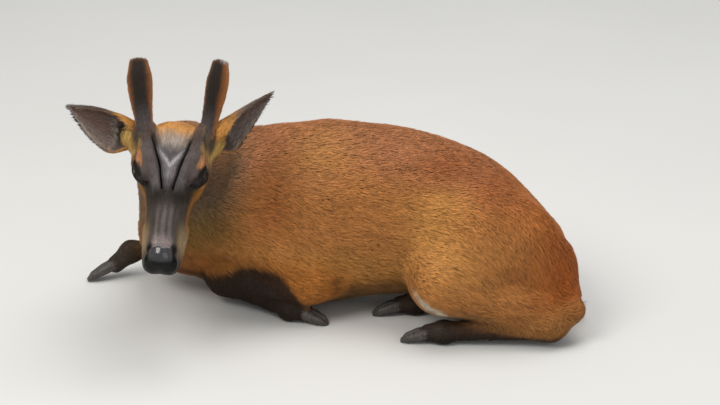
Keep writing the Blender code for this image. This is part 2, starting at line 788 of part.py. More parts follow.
def eye_opening(name, side):
    """The cutter that opens the lids: an almond drawn out along the way the eye looks."""
    look = unit(AXES.T @ (np.array(EYE_LOOK) * (1, side, 1)))
    along = unit(AXES.T @ np.array((-1.0, -side * 0.22, -0.34)))
    along = unit(along - look * np.dot(along, look))
    tall = np.cross(look, along)
    centre = from_head(EYE_PLACE[0], side * EYE_PLACE[1], EYE_PLACE[2])
    rings = []
    for reach in (0.006, 0.030):
        ring = []
        for i in range(20):
            angle = 2 * math.pi * i / 20
            x = EYE_OPENING[0] * math.cos(angle)
            y = EYE_OPENING[1] * math.sin(angle) * (1.0 - 0.25 * math.cos(2 * angle))
            ring.append(centre + look * reach + along * x + tall * y)
        rings.append(ring)
    return rings_closed(name, rings)


def pedicle(name, side):
    """One furry stem with a blunt, club-like top. It starts where the head's own stump ends."""
    count = 12
    steps = 11
    rings = []
    for i in range(steps):
        t = 0.06 + 0.94 * i / (steps - 1)
        p0 = from_head(*along_pedicle(t - 0.01, side))
        p1 = from_head(*along_pedicle(t + 0.01, side))
        first, second = crossways(p1 - p0, AXES[1])
        radius = smooth_curve(t, np.linspace(0, 1, len(PEDICLE_RADII)), PEDICLE_RADII)
        middle = 0.5 * (p0 + p1)
        ring = []
        for j in range(count):
            angle = 2 * math.pi * j / count
            ring.append(middle + radius * (first * math.cos(angle) + second * math.sin(angle)))
        rings.append(ring)
    cap = rings[-1]
    middle = sum(cap) / count
    way = unit(middle - sum(rings[-2]) / count)
    rings.append([middle + (point - middle) * 0.72 + way * 0.0045 for point in cap])
    rings.append([middle + (point - middle) * 0.30 + way * 0.0062 for point in cap])
    return rings_closed(name, rings)


def claw(name, start, toe, side_way, side, size):
    """One half of a cloven hoof, from the end of the foot to its toe. It is flat below and round above."""
    start = np.asarray(start, float)
    toe = np.asarray(toe, float)
    ahead = unit(toe - start)
    across = unit(np.asarray(side_way, float) - ahead * np.dot(side_way, ahead))
    upward = np.cross(ahead, across)
    upward = upward * (1 if upward[2] > 0 else -1)
    length = np.linalg.norm(toe - start)
    half = 0.5 * size
    rings = []
    sections = ((0.0, 0.96, 1.0, 1.0), (0.4, 1.0, 0.86, 1.0), (0.8, 0.80, 0.42, 0.98), (1.0, 0.36, 0.0, 0.90))
    for t, wide, high, low in sections:
        middle = start + ahead * (length * t) + across * side * (half * wide + GAP)
        ring = []
        for i in range(10):
            angle = 2 * math.pi * (i + 0.5) / 10
            x = math.cos(angle) * half * wide
            y = math.sin(angle)
            y = y * half * 1.5 * high if y > 0 else max(y * 1.5, -0.95) * half * low
            if y == 0 or high == 0:
                y = max(y, -half * 0.95) if y < 0 else -half * 0.35
            ring.append(middle + across * x + upward * y)
        rings.append(ring)
    return rings_closed(name, rings)


def remove_everything():
    for obj in list(bpy.data.objects):
        bpy.data.objects.remove(obj, do_unlink=True)


def body_without_head(p):
    """The flesh behind the head, with a little of the head that the parting takes away."""
    fields = flesh_fields(p)
    return np.maximum(blended(fields), -(share_of(fields, "head") + 0.012))


def head_with_nape(p):
    fields = flesh_fields(p)
    return np.maximum(blended(fields), share_of(fields, "head") - 0.012)


def build_body():
    """The body as one closed surface that stands on small flats, then parted into its pieces."""
    low, high = BODY_BOX
    rest = surface("torso", body_without_head, low, high, BODY_CELL, BODY_TRIANGLES)
    boolean(rest, floor_cutter(), "DIFFERENCE")
    pieces = []
    fore = (("left", LEFT_FORE), ("right", RIGHT_FORE))
    hind = (("left", LEFT_HIND), ("right", RIGHT_HIND))
    for side, leg in fore:
        points = [leg[name] for name in ("wrist", "knuckle", "hoof")]
        pieces.append(parted(rest, "forefoot_" + side, points, 0.05, 200))
    for side, leg in hind:
        points = [leg[name] for name in ("heel", "hock", "knuckle", "hoof")]
        pieces.append(parted(rest, "hindfoot_" + side, points, 0.05, 200))
    for side, leg in fore:
        points = [leg[name] for name in ("blade", "shoulder", "elbow", "point", "wrist")]
        pieces.append(parted(rest, "foreleg_" + side, points, 0.09, 240))
    for side, leg in hind:
        points = [leg[name] for name in ("hip", "knee", "hock", "buttock")]
        pieces.append(parted(rest, "hindleg_" + side, points, 0.12, 260))
    pieces.append(parted(rest, "tail", TAIL_LINE, 0.05, 200))
    neck = ahead_of_plane(rest, "neck", NECK_BASE, NECK_BASE_NORMAL)
    pieces.append(neck)
    pieces.append(rest)
    return pieces, neck


def build_head(neck):
    """The head's flesh, parted from the neck, with sockets, open lids and a place for the nose pad."""
    corners = [from_head(s, u, w) for s in (-0.01, 0.25) for u in (-0.09, 0.09) for w in (-0.10, 0.05)]
    region = region_of("head", corners, 0.0, 320)
    head = surface("head", head_with_nape, np.min(corners, axis=0), np.max(corners, axis=0), HEAD_CELL, HEAD_TRIANGLES)
    boolean(neck, grown(region, "head_gap", GAP), "DIFFERENCE")
    boolean(head, region, "INTERSECT")
    return head


def nostril(name, side):
    """The cutter of one nostril: a small egg that slants up and out."""
    bm = bmesh.new()
    bmesh.ops.create_uvsphere(bm, u_segments=12, v_segments=8, radius=1.0)
    bmesh.ops.scale(bm, vec=(0.0078, 0.0032, 0.0042), verts=bm.verts)
    turn = Matrix(AXES).transposed()
    slant = Matrix.Rotation(side * math.radians(8.0), 3, "Z") @ Matrix.Rotation(side * math.radians(24.0), 3, "X")
    bmesh.ops.rotate(bm, cent=(0, 0, 0), matrix=turn @ slant, verts=bm.verts)
    bmesh.ops.translate(bm, vec=from_head(0.0155, side * 0.0195, -0.0125), verts=bm.verts)
    return from_bmesh(name, bm)


def nose_patch(name, extra):
    """The cutter of the bare nose pad, as an egg around the tip of the muzzle."""
    bm = bmesh.new()
    bmesh.ops.create_uvsphere(bm, u_segments=18, v_segments=12, radius=1.0)
    bmesh.ops.scale(bm, vec=[radius + extra for radius in NOSE_RADII], verts=bm.verts)
    bmesh.ops.rotate(bm, cent=(0, 0, 0), matrix=Matrix(AXES).transposed(), verts=bm.verts)
    bmesh.ops.translate(bm, vec=from_head(*NOSE_CENTRE), verts=bm.verts)
    return from_bmesh(name, bm)


def finish_head(head):
    """Gives the head its nose pad, eyes, ears and pedicles, each at a small gap."""
    nose = boolean(copied(head, "nose_pad"), nose_patch("patch", 0.0), "INTERSECT")
    boolean(head, nose_patch("patch_gap", GAP), "DIFFERENCE")
    for side in (1, -1):
        boolean(nose, nostril("nostril", side), "DIFFERENCE")
    added = [nose]
    for name, side, ear in (("left", 1, LEFT_EAR), ("right", -1, RIGHT_EAR)):
        eye = eye_ball("eye_" + name, side)
        boolean(head, eye_opening("opening", side), "DIFFERENCE")
        boolean(head, grown(eye, "socket", GAP), "DIFFERENCE")
        start = from_head(*ear["base"])
        boolean(head, slab_beyond("ear_end", start - unit(ear["axis"]) * GAP, ear["axis"], 0.037, 0.03), "DIFFERENCE")
        stem = pedicle("pedicle_" + name, side)
        leaf = ear_leaf("ear_" + name, ear, side)
        boolean(leaf, grown(stem, "stem_room", GAP), "DIFFERENCE")
        boolean(head, grown(leaf, "ear_gap", GAP), "DIFFERENCE")
        foot = from_head(*along_pedicle(0.06, side))
        way = from_head(*along_pedicle(0.07, side)) - from_head(*along_pedicle(0.05, side))
        boolean(head, slab_beyond("stem_end", foot - unit(way) * GAP, way, 0.036, 0.04), "DIFFERENCE")
        boolean(head, grown(stem, "stem_gap", GAP), "DIFFERENCE")
        added += [eye, leaf, stem]
    return added


def lock(name, start, end, across, width, thickness):
    """A flat lock of hair: it swells from its root and tapers to a point."""
    start = np.asarray(start, float)
    end = np.asarray(end, float)
    first, second = crossways(end - start, across)
    rings = []
    for t, w in ((0.0, 0.55), (0.35, 1.0), (0.75, 0.62), (1.0, 0.10)):
        ring = []
        for i in range(6):
            angle = 2 * math.pi * i / 6
            x = 0.5 * width * w * math.cos(angle)
            y = 0.5 * thickness * w * math.sin(angle)
            ring.append(start + (end - start) * t + second * x + first * y)
        rings.append(ring)
    return rings_closed(name, rings)


def add_tail_brush(tail):
    """Fuses a fan of flat locks to the tip of the tail."""
    tip = np.array(TAIL_LINE[-1])
    for spread in (-1.5, -0.5, 0.5, 1.5):
        start = tip + (0.0, 0.0065 * spread, 0.010)
        end = tip + (0.008 - 0.001 * abs(spread), 0.0085 * spread, -0.028 + 0.003 * abs(spread))
        boolean(tail, lock("lock", start, end, (0, 1, 0), 0.016, 0.008), "UNION")


def hooves():
    made = []
    feet = (("fore_left", LEFT_FORE), ("fore_right", RIGHT_FORE), ("hind_left", LEFT_HIND), ("hind_right", RIGHT_HIND))
    for name, leg in feet:
        for which, side in (("inner", 1), ("outer", -1)):
            half = claw("hoof_" + name + "_" + which, leg["hoof"], leg["toe"], (0.1, 1, 0), side, HOOF_WIDTH)
            made.append(boolean(half, floor_cutter(), "DIFFERENCE"))
    return made


def near_each_other(one, other):
    """True where the bounding boxes of two meshes touch."""
    a = np.array([v.co for v in one.data.vertices])
    b = np.array([v.co for v in other.data.vertices])
    return bool(np.all(a.min(axis=0) < b.max(axis=0)) and np.all(b.min(axis=0) < a.max(axis=0)))


def slot_of(name):
    """The material slot of a piece, from its name."""
    for start, slot in SLOTS:
        if name.startswith(start):
            return slot
    return "coat"


def main():
    remove_everything()
    pieces, neck = build_body()
    head = build_head(neck)
    pieces += [head] + finish_head(head)
    tail = next(piece for piece in pieces if piece.name == "tail")
    add_tail_brush(tail)
    claws = hooves()
    for one in claws:
        for piece in pieces:
            if near_each_other(one, piece):
                boolean(piece, grown(one, "claw_gap", GAP), "DIFFERENCE")
    pieces += claws
    corners = np.array([v.co for piece in pieces for v in piece.data.vertices])
    low = corners.min(axis=0)
    high = corners.max(axis=0)
    to_centre = Matrix.Translation((-0.5 * (low[0] + high[0]), -0.5 * (low[1] + high[1]), -low[2]))
    for piece in pieces:
        piece.data.transform(to_centre)
        shown_as(piece, slot_of(piece.name))
        for polygon in piece.data.polygons:
            polygon.use_smooth = True
        piece.data.set_sharp_from_angle(angle=math.radians(45.0))


main()
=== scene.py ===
"""A red muntjac buck at rest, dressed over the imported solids.

One skin stands for all the flesh. Over it lies a short coat of flat pointed tufts, and the nose and
the lids are bare. Points are worked out where the flesh was first laid out, and HOME moves them to
where the solids are. Lengths are in metres.
"""

import math

import bpy
import numpy as np
from mathutils import Matrix, Vector


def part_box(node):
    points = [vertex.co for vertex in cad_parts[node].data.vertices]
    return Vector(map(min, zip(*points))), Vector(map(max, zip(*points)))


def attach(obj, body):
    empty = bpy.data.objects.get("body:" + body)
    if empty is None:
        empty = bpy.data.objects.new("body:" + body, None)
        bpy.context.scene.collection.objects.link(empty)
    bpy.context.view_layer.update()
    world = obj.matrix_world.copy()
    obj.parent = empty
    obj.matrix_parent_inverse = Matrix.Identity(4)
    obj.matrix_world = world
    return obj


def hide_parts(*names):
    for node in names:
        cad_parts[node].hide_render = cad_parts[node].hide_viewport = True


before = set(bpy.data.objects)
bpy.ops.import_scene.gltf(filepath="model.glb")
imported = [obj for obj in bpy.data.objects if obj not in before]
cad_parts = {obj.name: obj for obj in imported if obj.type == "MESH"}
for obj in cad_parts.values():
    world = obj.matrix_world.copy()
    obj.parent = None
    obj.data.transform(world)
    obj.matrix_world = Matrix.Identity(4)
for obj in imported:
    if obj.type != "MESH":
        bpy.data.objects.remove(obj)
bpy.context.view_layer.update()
rng = np.random.default_rng(11)

SIDES = ("left", "right")

COARSER = 1.0

# Grid cells of the skin, and how many of them a rough first look takes at once
BODY_CELL = 0.0052
HEAD_CELL = 0.00135
NOSE_CELL = 0.0007
BLOCK = 6
BODY_BOX = ((-0.47, -0.27, -0.02), (0.36, 0.19, 0.35))

# How far the body's and the head's skin pass each other, how far off the whole skin a point may be
# before it counts as cut, how high all skin stays over the floor, and how dark it is under the coat
SKIN_OVERLAP = 0.006
CUT_LIMIT = 0.002
FLOOR_GAP = 0.0006
UNDERCOAT = 0.86

# The trunk: place along X, back height, belly height, half width
TRUNK = (
    (-0.315, 0.150, 0.080, 0.034),
    (-0.280, 0.186, 0.046, 0.055),
    (-0.235, 0.218, 0.018, 0.070),
    (-0.190, 0.238, 0.002, 0.078),
    (-0.145, 0.250, -0.004, 0.086),
    (-0.080, 0.263, -0.004, 0.096),
    (-0.020, 0.269, 0.012, 0.104),
    (0.050, 0.262, 0.024, 0.108),
    (0.110, 0.246, 0.026, 0.102),
    (0.160, 0.225, 0.022, 0.088),
    (0.205, 0.187, 0.032, 0.070),
    (0.235, 0.148, 0.050, 0.050),
)
TRUNK_END_ROUNDING = 0.05
WITHERS = ((-0.170, 0.004, 0.200), (-0.080, 0.004, 0.212), 0.036, 0.042, 0.05)

# Joints of the skeleton, by side. The left foreleg is folded, the right one reaches forward.
FORE = dict(
    left=dict(
        blade=(-0.125, -0.036, 0.214), shoulder=(-0.196, -0.078, 0.148), elbow=(-0.085, -0.082, 0.062),
        point=(-0.060, -0.080, 0.058), wrist=(-0.216, -0.048, 0.036), knuckle=(-0.112, -0.088, 0.0145),
        hoof=(-0.093, -0.092, 0.0140), outward=-1,
    ),
    right=dict(
        blade=(-0.140, 0.036, 0.208), shoulder=(-0.225, 0.072, 0.148), elbow=(-0.170, 0.068, 0.062),
        point=(-0.146, 0.070, 0.062), wrist=(-0.288, 0.050, 0.052), knuckle=(-0.377, 0.026, 0.038),
        hoof=(-0.398, 0.014, 0.021), outward=1,
    ),
)
HIND = dict(
    left=dict(
        hip=(0.178, -0.048, 0.134), knee=(0.109, -0.113, 0.085), hock=(0.262, -0.106, 0.030),
        heel=(0.292, -0.092, 0.048), buttock=(0.248, -0.050, 0.090), knuckle=(0.114, -0.126, 0.0150),
        hoof=(0.094, -0.129, 0.0145), outward=-1,
    ),
    right=dict(
        hip=(0.152, 0.040, 0.092), knee=(0.060, 0.100, 0.060), hock=(0.218, 0.034, 0.028),
        heel=(0.250, 0.038, 0.044), buttock=(0.224, 0.040, 0.074), knuckle=(0.060, -0.036, 0.0150),
        hoof=(0.040, -0.042, 0.0145), outward=1,
    ),
)

# The head: its nose tip and how it is turned and tilted in degrees. Places on it are in its own
# directions: back from the nose, out to the side and up through the forehead.
HEAD_TIP = (-0.244, -0.311, 0.165)
HEAD_TURN = 3.5
HEAD_PITCH = 45.0
HEAD_ROLL = 5.5
HEAD_SIDE = dict(left=1, right=-1)
EYE_SOLID = (0.140, 0.0380, -0.001)
EYE_PLACE = (0.1412, 0.0360, -0.0018)
EYE_RADIUS = 0.0142
LID_THICKNESS = 0.0028
EYE_OPENING = (0.0114, 0.0055)
EYE_LOOK = (-0.46, 0.80, 0.34)

# The skull: place back from the nose, top, bottom, half width
SKULL = (
    (0.003, -0.008, -0.034, 0.0180),
    (0.014, -0.002, -0.042, 0.0225),
    (0.034, 0.001, -0.047, 0.0250),
    (0.056, 0.003, -0.050, 0.0268),
    (0.082, 0.006, -0.054, 0.0285),
    (0.104, 0.009, -0.059, 0.0315),
    (0.126, 0.013, -0.064, 0.0370),
    (0.146, 0.017, -0.069, 0.0430),
    (0.166, 0.020, -0.071, 0.0455),
    (0.186, 0.020, -0.069, 0.0440),
    (0.206, 0.014, -0.061, 0.0395),
    (0.224, 0.003, -0.051, 0.0325),
)

# What swells from the skull, in order: cheek, jaw, lip, chin, eye, three brow ridges, bridge and crown.
# A rod has two ends, their radii and a blend. An egg has a centre, three radii and a blend.
HEAD_MASSES = (
    ((0.160, 0.030, -0.042), (0.038, 0.015, 0.030), 0.018),
    ((0.036, 0.011, -0.040), (0.168, 0.026, -0.066), 0.009, 0.012, 0.014),
    ((0.016, 0.012, -0.026), (0.068, 0.021, -0.036), 0.0115, 0.0100, 0.010),
    ((0.026, 0.0, -0.042), (0.016, 0.013, 0.009), 0.008),
    (EYE_PLACE, (EYE_RADIUS + LID_THICKNESS,) * 3, 0.012),
    ((0.182, 0.034, 0.018), (0.148, 0.031, 0.017), 0.012, 0.008, 0.014),
    ((0.148, 0.028, 0.018), (0.104, 0.011, 0.009), 0.0075, 0.0050, 0.012),
    ((0.164, 0.045, 0.010), (0.128, 0.038, 0.008), 0.0070, 0.0060, 0.012),
    ((0.116, 0.0, 0.002), (0.024, 0.0, -0.009), 0.0120, 0.0110, 0.012),
    ((0.190, 0.0, 0.010), (0.186, 0.034, 0.015), 0.0130, 0.0110, 0.012),
)

# Lines that are cut into the face
FOREHEAD_SLIT = ((0.176, 0.0258, 0.0310), (0.145, 0.0140, 0.0180), (0.110, 0.0070, 0.0155))
EYE_HOLLOW = ((0.121, 0.033, 0.001), (0.104, 0.029, -0.006))
GLAND = ((0.127, 0.0360, 0.0030), (0.118, 0.0335, -0.0015), (0.106, 0.0295, -0.0070))
MOUTH_LINE = (
    (0.002, 0.000, -0.0320), (0.014, 0.0205, -0.0325), (0.038, 0.0258, -0.0365), (0.066, 0.0296, -0.0410),
)
NOSTRIL = ((0.0165, 0.0185, -0.0100), (0.0240, 0.0190, -0.0075), (0.0320, 0.0172, -0.0045))
LIP_GROOVE = ((-0.006, 0.0, -0.0200), (0.000, 0.0, -0.0330))

# The bare nose pad is what an egg round the tip of the muzzle takes in
NOSE_CENTRE = (0.004, 0.0, -0.006)
NOSE_RADII = (0.0300, 0.0275, 0.0215)
NOSE_BOX = ((-0.03, 0.04), (-0.03, 0.03), (-0.035, 0.018))

# The pedicles stand behind the brows: how far each bows outward, and the radii from root to top.
# The left one is slimmer, and worn bare at the outer edge of its top.
PEDICLES = dict(
    left=dict(root=(0.186, 0.0425, 0.024), top=(0.283, 0.0530, 0.046)),
    right=dict(root=(0.186, -0.0370, 0.024), top=(0.277, -0.0555, 0.044)),
)
PEDICLE_BOW = 0.0030
PEDICLE_RADII = (0.0122, 0.0120, 0.0138, 0.0160, 0.0164, 0.0128)
SLIMMER = 0.86
SLIMMER_SHIFT = 0.0018

# Each ear: where its leaf starts on the head, and in world directions the way it points and the way
# its cup opens. Its half widths, the degrees that each half wraps round and its thickness are given
# along it, and so are the rows and columns of its sheet.
EARS = dict(
    left=dict(base=(0.187, 0.047, 0.003), axis=(0.719, 0.504, 0.480), opening=(0.690, -0.570, -0.440)),
    right=dict(base=(0.187, -0.047, 0.003), axis=(-0.948, 0.157, 0.276), opening=(-0.140, -0.985, 0.100)),
)
EAR_GRID = (30, 22)
EAR_LENGTH = 0.110
EAR_ROOT_RADIUS = 0.0165
EAR_WIDTHS = ((0.0, 0.2, 0.45, 0.7, 0.9, 1.0), (0.0425, 0.0490, 0.0370, 0.0235, 0.0095, 0.0022))
EAR_WRAPS = ((0.0, 0.25, 0.5, 0.75, 1.0), (150.0, 100.0, 68.0, 52.0, 42.0))
EAR_THICKNESS = ((0.0, 0.12, 0.3, 1.0), (0.0095, 0.0045, 0.0026, 0.0014))
EAR_INSET = 0.0009

# The neck from the chest to the head, the throat below it, and the tail clamped down the rump
NECK_LINE = (
    (-0.190, 0.008, 0.157), (-0.245, -0.012, 0.185), (-0.265, -0.062, 0.221), (-0.264, -0.116, 0.246),
)
NECK_RADII = (0.066, 0.059, 0.048, 0.040)
THROAT_LINE = ((-0.293, -0.002, 0.092), (-0.268, -0.046, 0.144), (-0.265, -0.098, 0.210))
THROAT_RADII = (0.062, 0.060, 0.048)
TAIL_LINE = (
    (0.218, 0.000, 0.154), (0.246, -0.004, 0.122), (0.269, -0.008, 0.080), (0.285, -0.012, 0.036),
)
TAIL_RADII = (0.022, 0.024, 0.026, 0.018)
TAIL_FLAT = (1.0, 0.0, 0.45)
TAIL_FLATNESS = 0.55

# How softly each part of the flesh melts into what comes before it
BLENDS = (
    ("neck", 0.05),
    ("hindleg_left", 0.045),
    ("foreleg_left", 0.035),
    ("hindleg_right", 0.045),
    ("foreleg_right", 0.035),
    ("tail", 0.012),
    ("head", 0.020),
    ("forefoot_left", 0.012),
    ("hindfoot_left", 0.014),
    ("forefoot_right", 0.012),
    ("hindfoot_right", 0.014),
)

# How deep the coat is over each part, from the skin to the tips, and how long its hair is
COAT_DEPTH = dict(
    torso=0.0052, neck=0.0058, head=0.0020, tail=0.0085,
    foreleg=0.0040, forefoot=0.0016, hindleg=0.0046, hindfoot=0.0017,
)
HAIR_LENGTH = dict(
    torso=0.0160, neck=0.0180, head=0.010, tail=0.024,
    foreleg=0.0135, forefoot=0.0068, hindleg=0.0150, hindfoot=0.0070,
)

# Where the coat of the ribs ends and that of the flank begins, along X
RIBS_END = -0.02

# A tuft: how deep it is rooted, how wide it is at least and with its length, and how thick
ROOT_DEPTH = 0.0012
TUFT_LEAST = 0.0003
TUFT_WIDTH = 0.0088
TUFT_THICKNESS = 0.26

# The faces of a tuft between its root, two sides, back and tip, how light each of those is, and where
# they lie on the unwrap
TUFT = np.array(((0, 2, 1), (0, 3, 2), (0, 1, 3), (4, 1, 2), (4, 2, 3), (4, 3, 1)))
ROOT_SHADE = 0.72
TUFT_SHADES = (0.86, 0.86, 0.95, 1.14)
TUFT_UNWRAP = np.array(((0, -1), (-1, 0), (1, 0), (0, 0.2), (0, 1))) * 0.0015

# The ticking of the coat from line to line, and how much darker or lighter one tuft may be
TICKING = 0.0044
LIGHT_RANGE = (0.40, 1.5)

# Two steps whose multiples fill a square evenly, and how far each tuft strays from its place there
EVEN_STEPS = (0.7548776662, 0.5698402910)
STRAY = 0.07

# Colours as they look on a screen
SCREEN_TONES = dict(
    # The gold tone is a painted highlight, laid where light falls on the near hip, haunch and back
    trunk=(173, 113, 60), back=(163, 105, 67), rump=(160, 80, 27), gold=(204, 146, 76), deep=(146, 78, 34),
    low=(188, 133, 66), belly=(150, 116, 74), white=(205, 192, 168), neck=(96, 78, 60), throat=(128, 94, 44),
    throat_edge=(112, 72, 32), chest=(160, 96, 42), arm=(160, 90, 32), hock=(96, 60, 34), shin=(38, 29, 25),
    # The crease tone is painted shade, for the creases by the elbow and the knee and along the foot of the
    # flank
    foot=(58, 50, 44), crease=(66, 38, 20),
    face=(62, 55, 51), grey=(118, 109, 108), pale=(148, 134, 132), black=(16, 14, 14), cheek=(126, 84, 34),
    golden=(164, 112, 48), under_jaw=(104, 70, 34), muzzle=(150, 128, 96), chin=(164, 148, 116),
    # The ridge tone is a painted highlight on the raised ridges inside the forehead slits
    forehead=(100, 95, 97), brow_grey=(84, 74, 72), wedge=(76, 72, 74), ridge=(172, 168, 172),
    plate=(128, 121, 125), slit_side=(40, 36, 38), crown_front=(164, 149, 136), crown=(192, 134, 68),
    temple=(118, 94, 80), buff=(190, 153, 86), nape=(128, 88, 44), brow=(172, 116, 72),
    # The ear hollow tone is painted shade where each ear opens from the head
    stem_foot=(72, 62, 60), ear_hollow=(44, 34, 28),
    ear_root=(158, 112, 58), ear_tip=(112, 98, 92), ear_rim=(84, 72, 66), cup=(100, 80, 72),
    # The darkest cup tones are painted shade in the ear's hollow and at its root
    cup_red=(92, 58, 44), cup_grey=(126, 112, 106), cup_deep=(22, 18, 18), cup_root=(24, 19, 18),
    cup_fold=(176, 166, 152), cup_hair=(178, 166, 150),
    stem=(158, 96, 42), stem_turn=(104, 60, 30), stem_front=(30, 24, 22), stem_front_root=(62, 56, 58),
    stem_back=(92, 62, 42), stem_top=(96, 62, 38), worn=(172, 168, 172),
    iris=(26, 16, 11), iris_edge=(14, 9, 7), pupil=(3, 3, 4), eye_white=(40, 34, 31), lid=(22, 17, 15),
    # The darker nose tone is painted shade down the front of the nose pad and in its nostrils
    nose=(37, 35, 39), nose_front=(10, 9, 10),
    horn_dark=(40, 35, 32), horn_light=(88, 82, 76),
)

# Patches of the body that fade out all round: tone, strength, centre and sizes
# The golden patches are painted highlight where light falls on the near hip, haunch and back
PATCHES = (
    ("gold", 0.60, (0.090, -0.115, 0.160), (0.040, 0.09, 0.042)),
    ("gold", 0.45, (0.115, -0.090, 0.192), (0.034, 0.07, 0.012)),
    ("deep", 0.60, (0.165, -0.070, 0.205), (0.035, 0.07, 0.020)),
    ("gold", 0.45, (-0.075, -0.060, 0.245), (0.045, 0.06, 0.030)),
    ("gold", 0.40, (0.130, -0.130, 0.120), (0.060, 0.08, 0.035)),
    ("deep", 0.55, (0.105, -0.050, 0.232), (0.055, 0.07, 0.018)),
    ("deep", 0.45, (-0.140, -0.100, 0.175), (0.035, 0.06, 0.050)),
    ("deep", 0.30, (0.210, -0.120, 0.110), (0.040, 0.06, 0.030)),
)

# On the left side: the white edge of the thigh, painted shade in the crease behind the elbow and in the one
# before the knee, and the top of the dark hair along the forearm
THIGH_EDGE = (
    (0.071, -0.136, 0.083), (0.078, -0.145, 0.076), (0.088, -0.147, 0.065), (0.110, -0.145, 0.051),
)
ELBOW_CREASE_SHADE = (
    (-0.047, -0.099, 0.078), (-0.045, -0.098, 0.068), (-0.047, -0.099, 0.054), (-0.052, -0.095, 0.036),
)
KNEE_CREASE_SHADE = ((0.044, -0.094, 0.083), (0.056, -0.108, 0.081), (0.066, -0.124, 0.078))
ARM_PLACES = (-0.215, -0.200, -0.180, -0.158, -0.136, -0.120, -0.108, -0.098, -0.090)
ARM_TOPS = (0.056, 0.066, 0.078, 0.086, 0.089, 0.081, 0.069, 0.052, 0.020)

# Lines of the markings on the face: golden along the jaw, orange over the eye, black before it, and
# the painted highlight along the ridge beside each slit
JAW_LINE = (
    (0.070, 0.0290, -0.026), (0.097, 0.0300, -0.026), (0.130, 0.0400, -0.030), (0.160, 0.0480, -0.016),
)
BROW_LINE = ((0.146, 0.0430, 0.0205), (0.154, 0.0440, 0.0205))
EYE_BAND = (
    (0.119, 0.0305, -0.005), (0.1212, 0.0352, 0.0118), (0.128, 0.0405, 0.0160), (0.137, 0.0455, 0.0166),
    (0.146, 0.0500, 0.012),
)
RIDGE_HIGHLIGHT_LINE = ((0.167, 0.0205, 0.0), (0.143, 0.0, 0.0))

# The camera: how far it is turned and raised in degrees, its place, and its sensor and lens in
# millimetres
CAMERA_TURN = 10.0
CAMERA_RISE = 22.0
CAMERA_PLACE = (0.52841, -3.14795, 1.44296)
CAMERA_SENSOR = 36.0
CAMERA_LENS = 120.0

# Each lamp: name, place, size, power and colour. All are aimed at one place.
LAMPS = (
    ("key", (-1.1, -1.6, 2.5), 1.7, 46.0, (1.0, 0.97, 0.92)),
    ("top", (0.5, 0.4, 2.8), 2.2, 42.0, (1.0, 0.99, 0.97)),
    ("fill", (2.2, -2.2, 1.3), 2.4, 12.0, (0.93, 0.97, 1.0)),
)
LAMP_AIM = (0.0, 0.0, 0.12)
PAPER = ((0.3, (0.625, 0.625, 0.61)), (0.7, (0.645, 0.645, 0.63)))


# Vectors, distances and blends


def unit(v):
    v = np.asarray(v, float)
    return v / np.linalg.norm(v)


def units(v):
    return v / np.maximum(np.linalg.norm(v, axis=1), 1e-9)[:, None]


def gap(p, place):
    return np.linalg.norm(p - np.asarray(place, float), axis=1)


def rise(x, low, high):
    """Climbs smoothly from 0 at low to 1 at high."""
    t = np.clip((x - low) / (high - low), 0.0, 1.0)
    return t * t * (3 - 2 * t)


def fall(x, low, high):
    """Falls smoothly from 1 at low to 0 at high."""
    return rise(-x, -high, -low)


def bell(x, width):
    return np.exp(-((x / width) ** 2))


def smooth_min(a, b, k):
    """The lesser of two distances, blended where they differ by less than k."""
    h = np.clip(0.5 + 0.5 * (b - a) / k, 0.0, 1.0)
    return b + (a - b) * h - k * h * (1.0 - h)


def smooth_max(a, b, k):
    return -smooth_min(-a, -b, k)


def smooth_curve(x, xs, ys):
    """Reads a smooth curve through the stations (xs, ys) at x."""
    xs = np.asarray(xs, float)
    ys = np.asarray(ys, float)
    slope = np.gradient(ys, xs)
    x = np.clip(x, xs[0], xs[-1])
    i = np.clip(np.searchsorted(xs, x, side="right") - 1, 0, len(xs) - 2)
    span = xs[i + 1] - xs[i]
    t = (x - xs[i]) / span
    a = (1 + 2 * t) * (1 - t) ** 2 * ys[i] + t * (1 - t) ** 2 * span * slope[i]
    return a + t * t * (3 - 2 * t) * ys[i + 1] + t * t * (t - 1) * span * slope[i + 1]


# Distances to simple bodies, close to true near their surfaces


def ball(p, centre, radius):
    return gap(p, centre) - radius


def egg(p, centre, radii):
    q = p - np.asarray(centre, float)
    r = np.asarray(radii, float)
    k0 = np.linalg.norm(q / r, axis=1)
    k1 = np.linalg.norm(q / (r * r), axis=1)
    return k0 * (k0 - 1.0) / np.maximum(k1, 1e-9)


def rod(p, a, b, ra=0.0, rb=0.0, flat=None, flatness=1.0):
    """A round cone from a to b. It is flatness times as thick along flat."""
    a = np.asarray(a, float)
    ab = np.asarray(b, float) - a
    pa = p - a
    t = np.clip(pa @ ab / (ab @ ab), 0.0, 1.0)
    q = pa - t[:, None] * ab
    if flat is not None:
        n = unit(flat)
        q = q + ((1.0 / flatness - 1.0) * (q @ n))[:, None] * n
    return np.linalg.norm(q, axis=1) - (ra + (rb - ra) * t)


def chain(p, points, radii, k, *flat):
    """Round cones in a row, blended where they meet."""
    d = None
    for a, b, ra, rb in zip(points, points[1:], radii, radii[1:]):
        e = rod(p, a, b, ra, rb, *flat)
        d = e if d is None else smooth_min(d, e, k)
    return d


def to_line(p, points):
    """How far points are from a line through the given points."""
    return np.min([rod(p, a, b) for a, b in zip(points, points[1:])], axis=0)


def lofted(along, side, up, stations):
    """A body whose elliptical section follows the stations (place, top, bottom, half width)."""
    place, top, bottom, half = np.array(stations, float).T
    t = smooth_curve(along, place, top)
    b = smooth_curve(along, place, bottom)
    a = smooth_curve(along, place, half)
    c = 0.5 * (t - b)
    w = up - 0.5 * (t + b)
    k0 = np.sqrt((side / a) ** 2 + (w / c) ** 2)
    k1 = np.sqrt((side / a**2) ** 2 + (w / c**2) ** 2)
    return k0 * (k0 - 1.0) / np.maximum(k1, 1e-9)


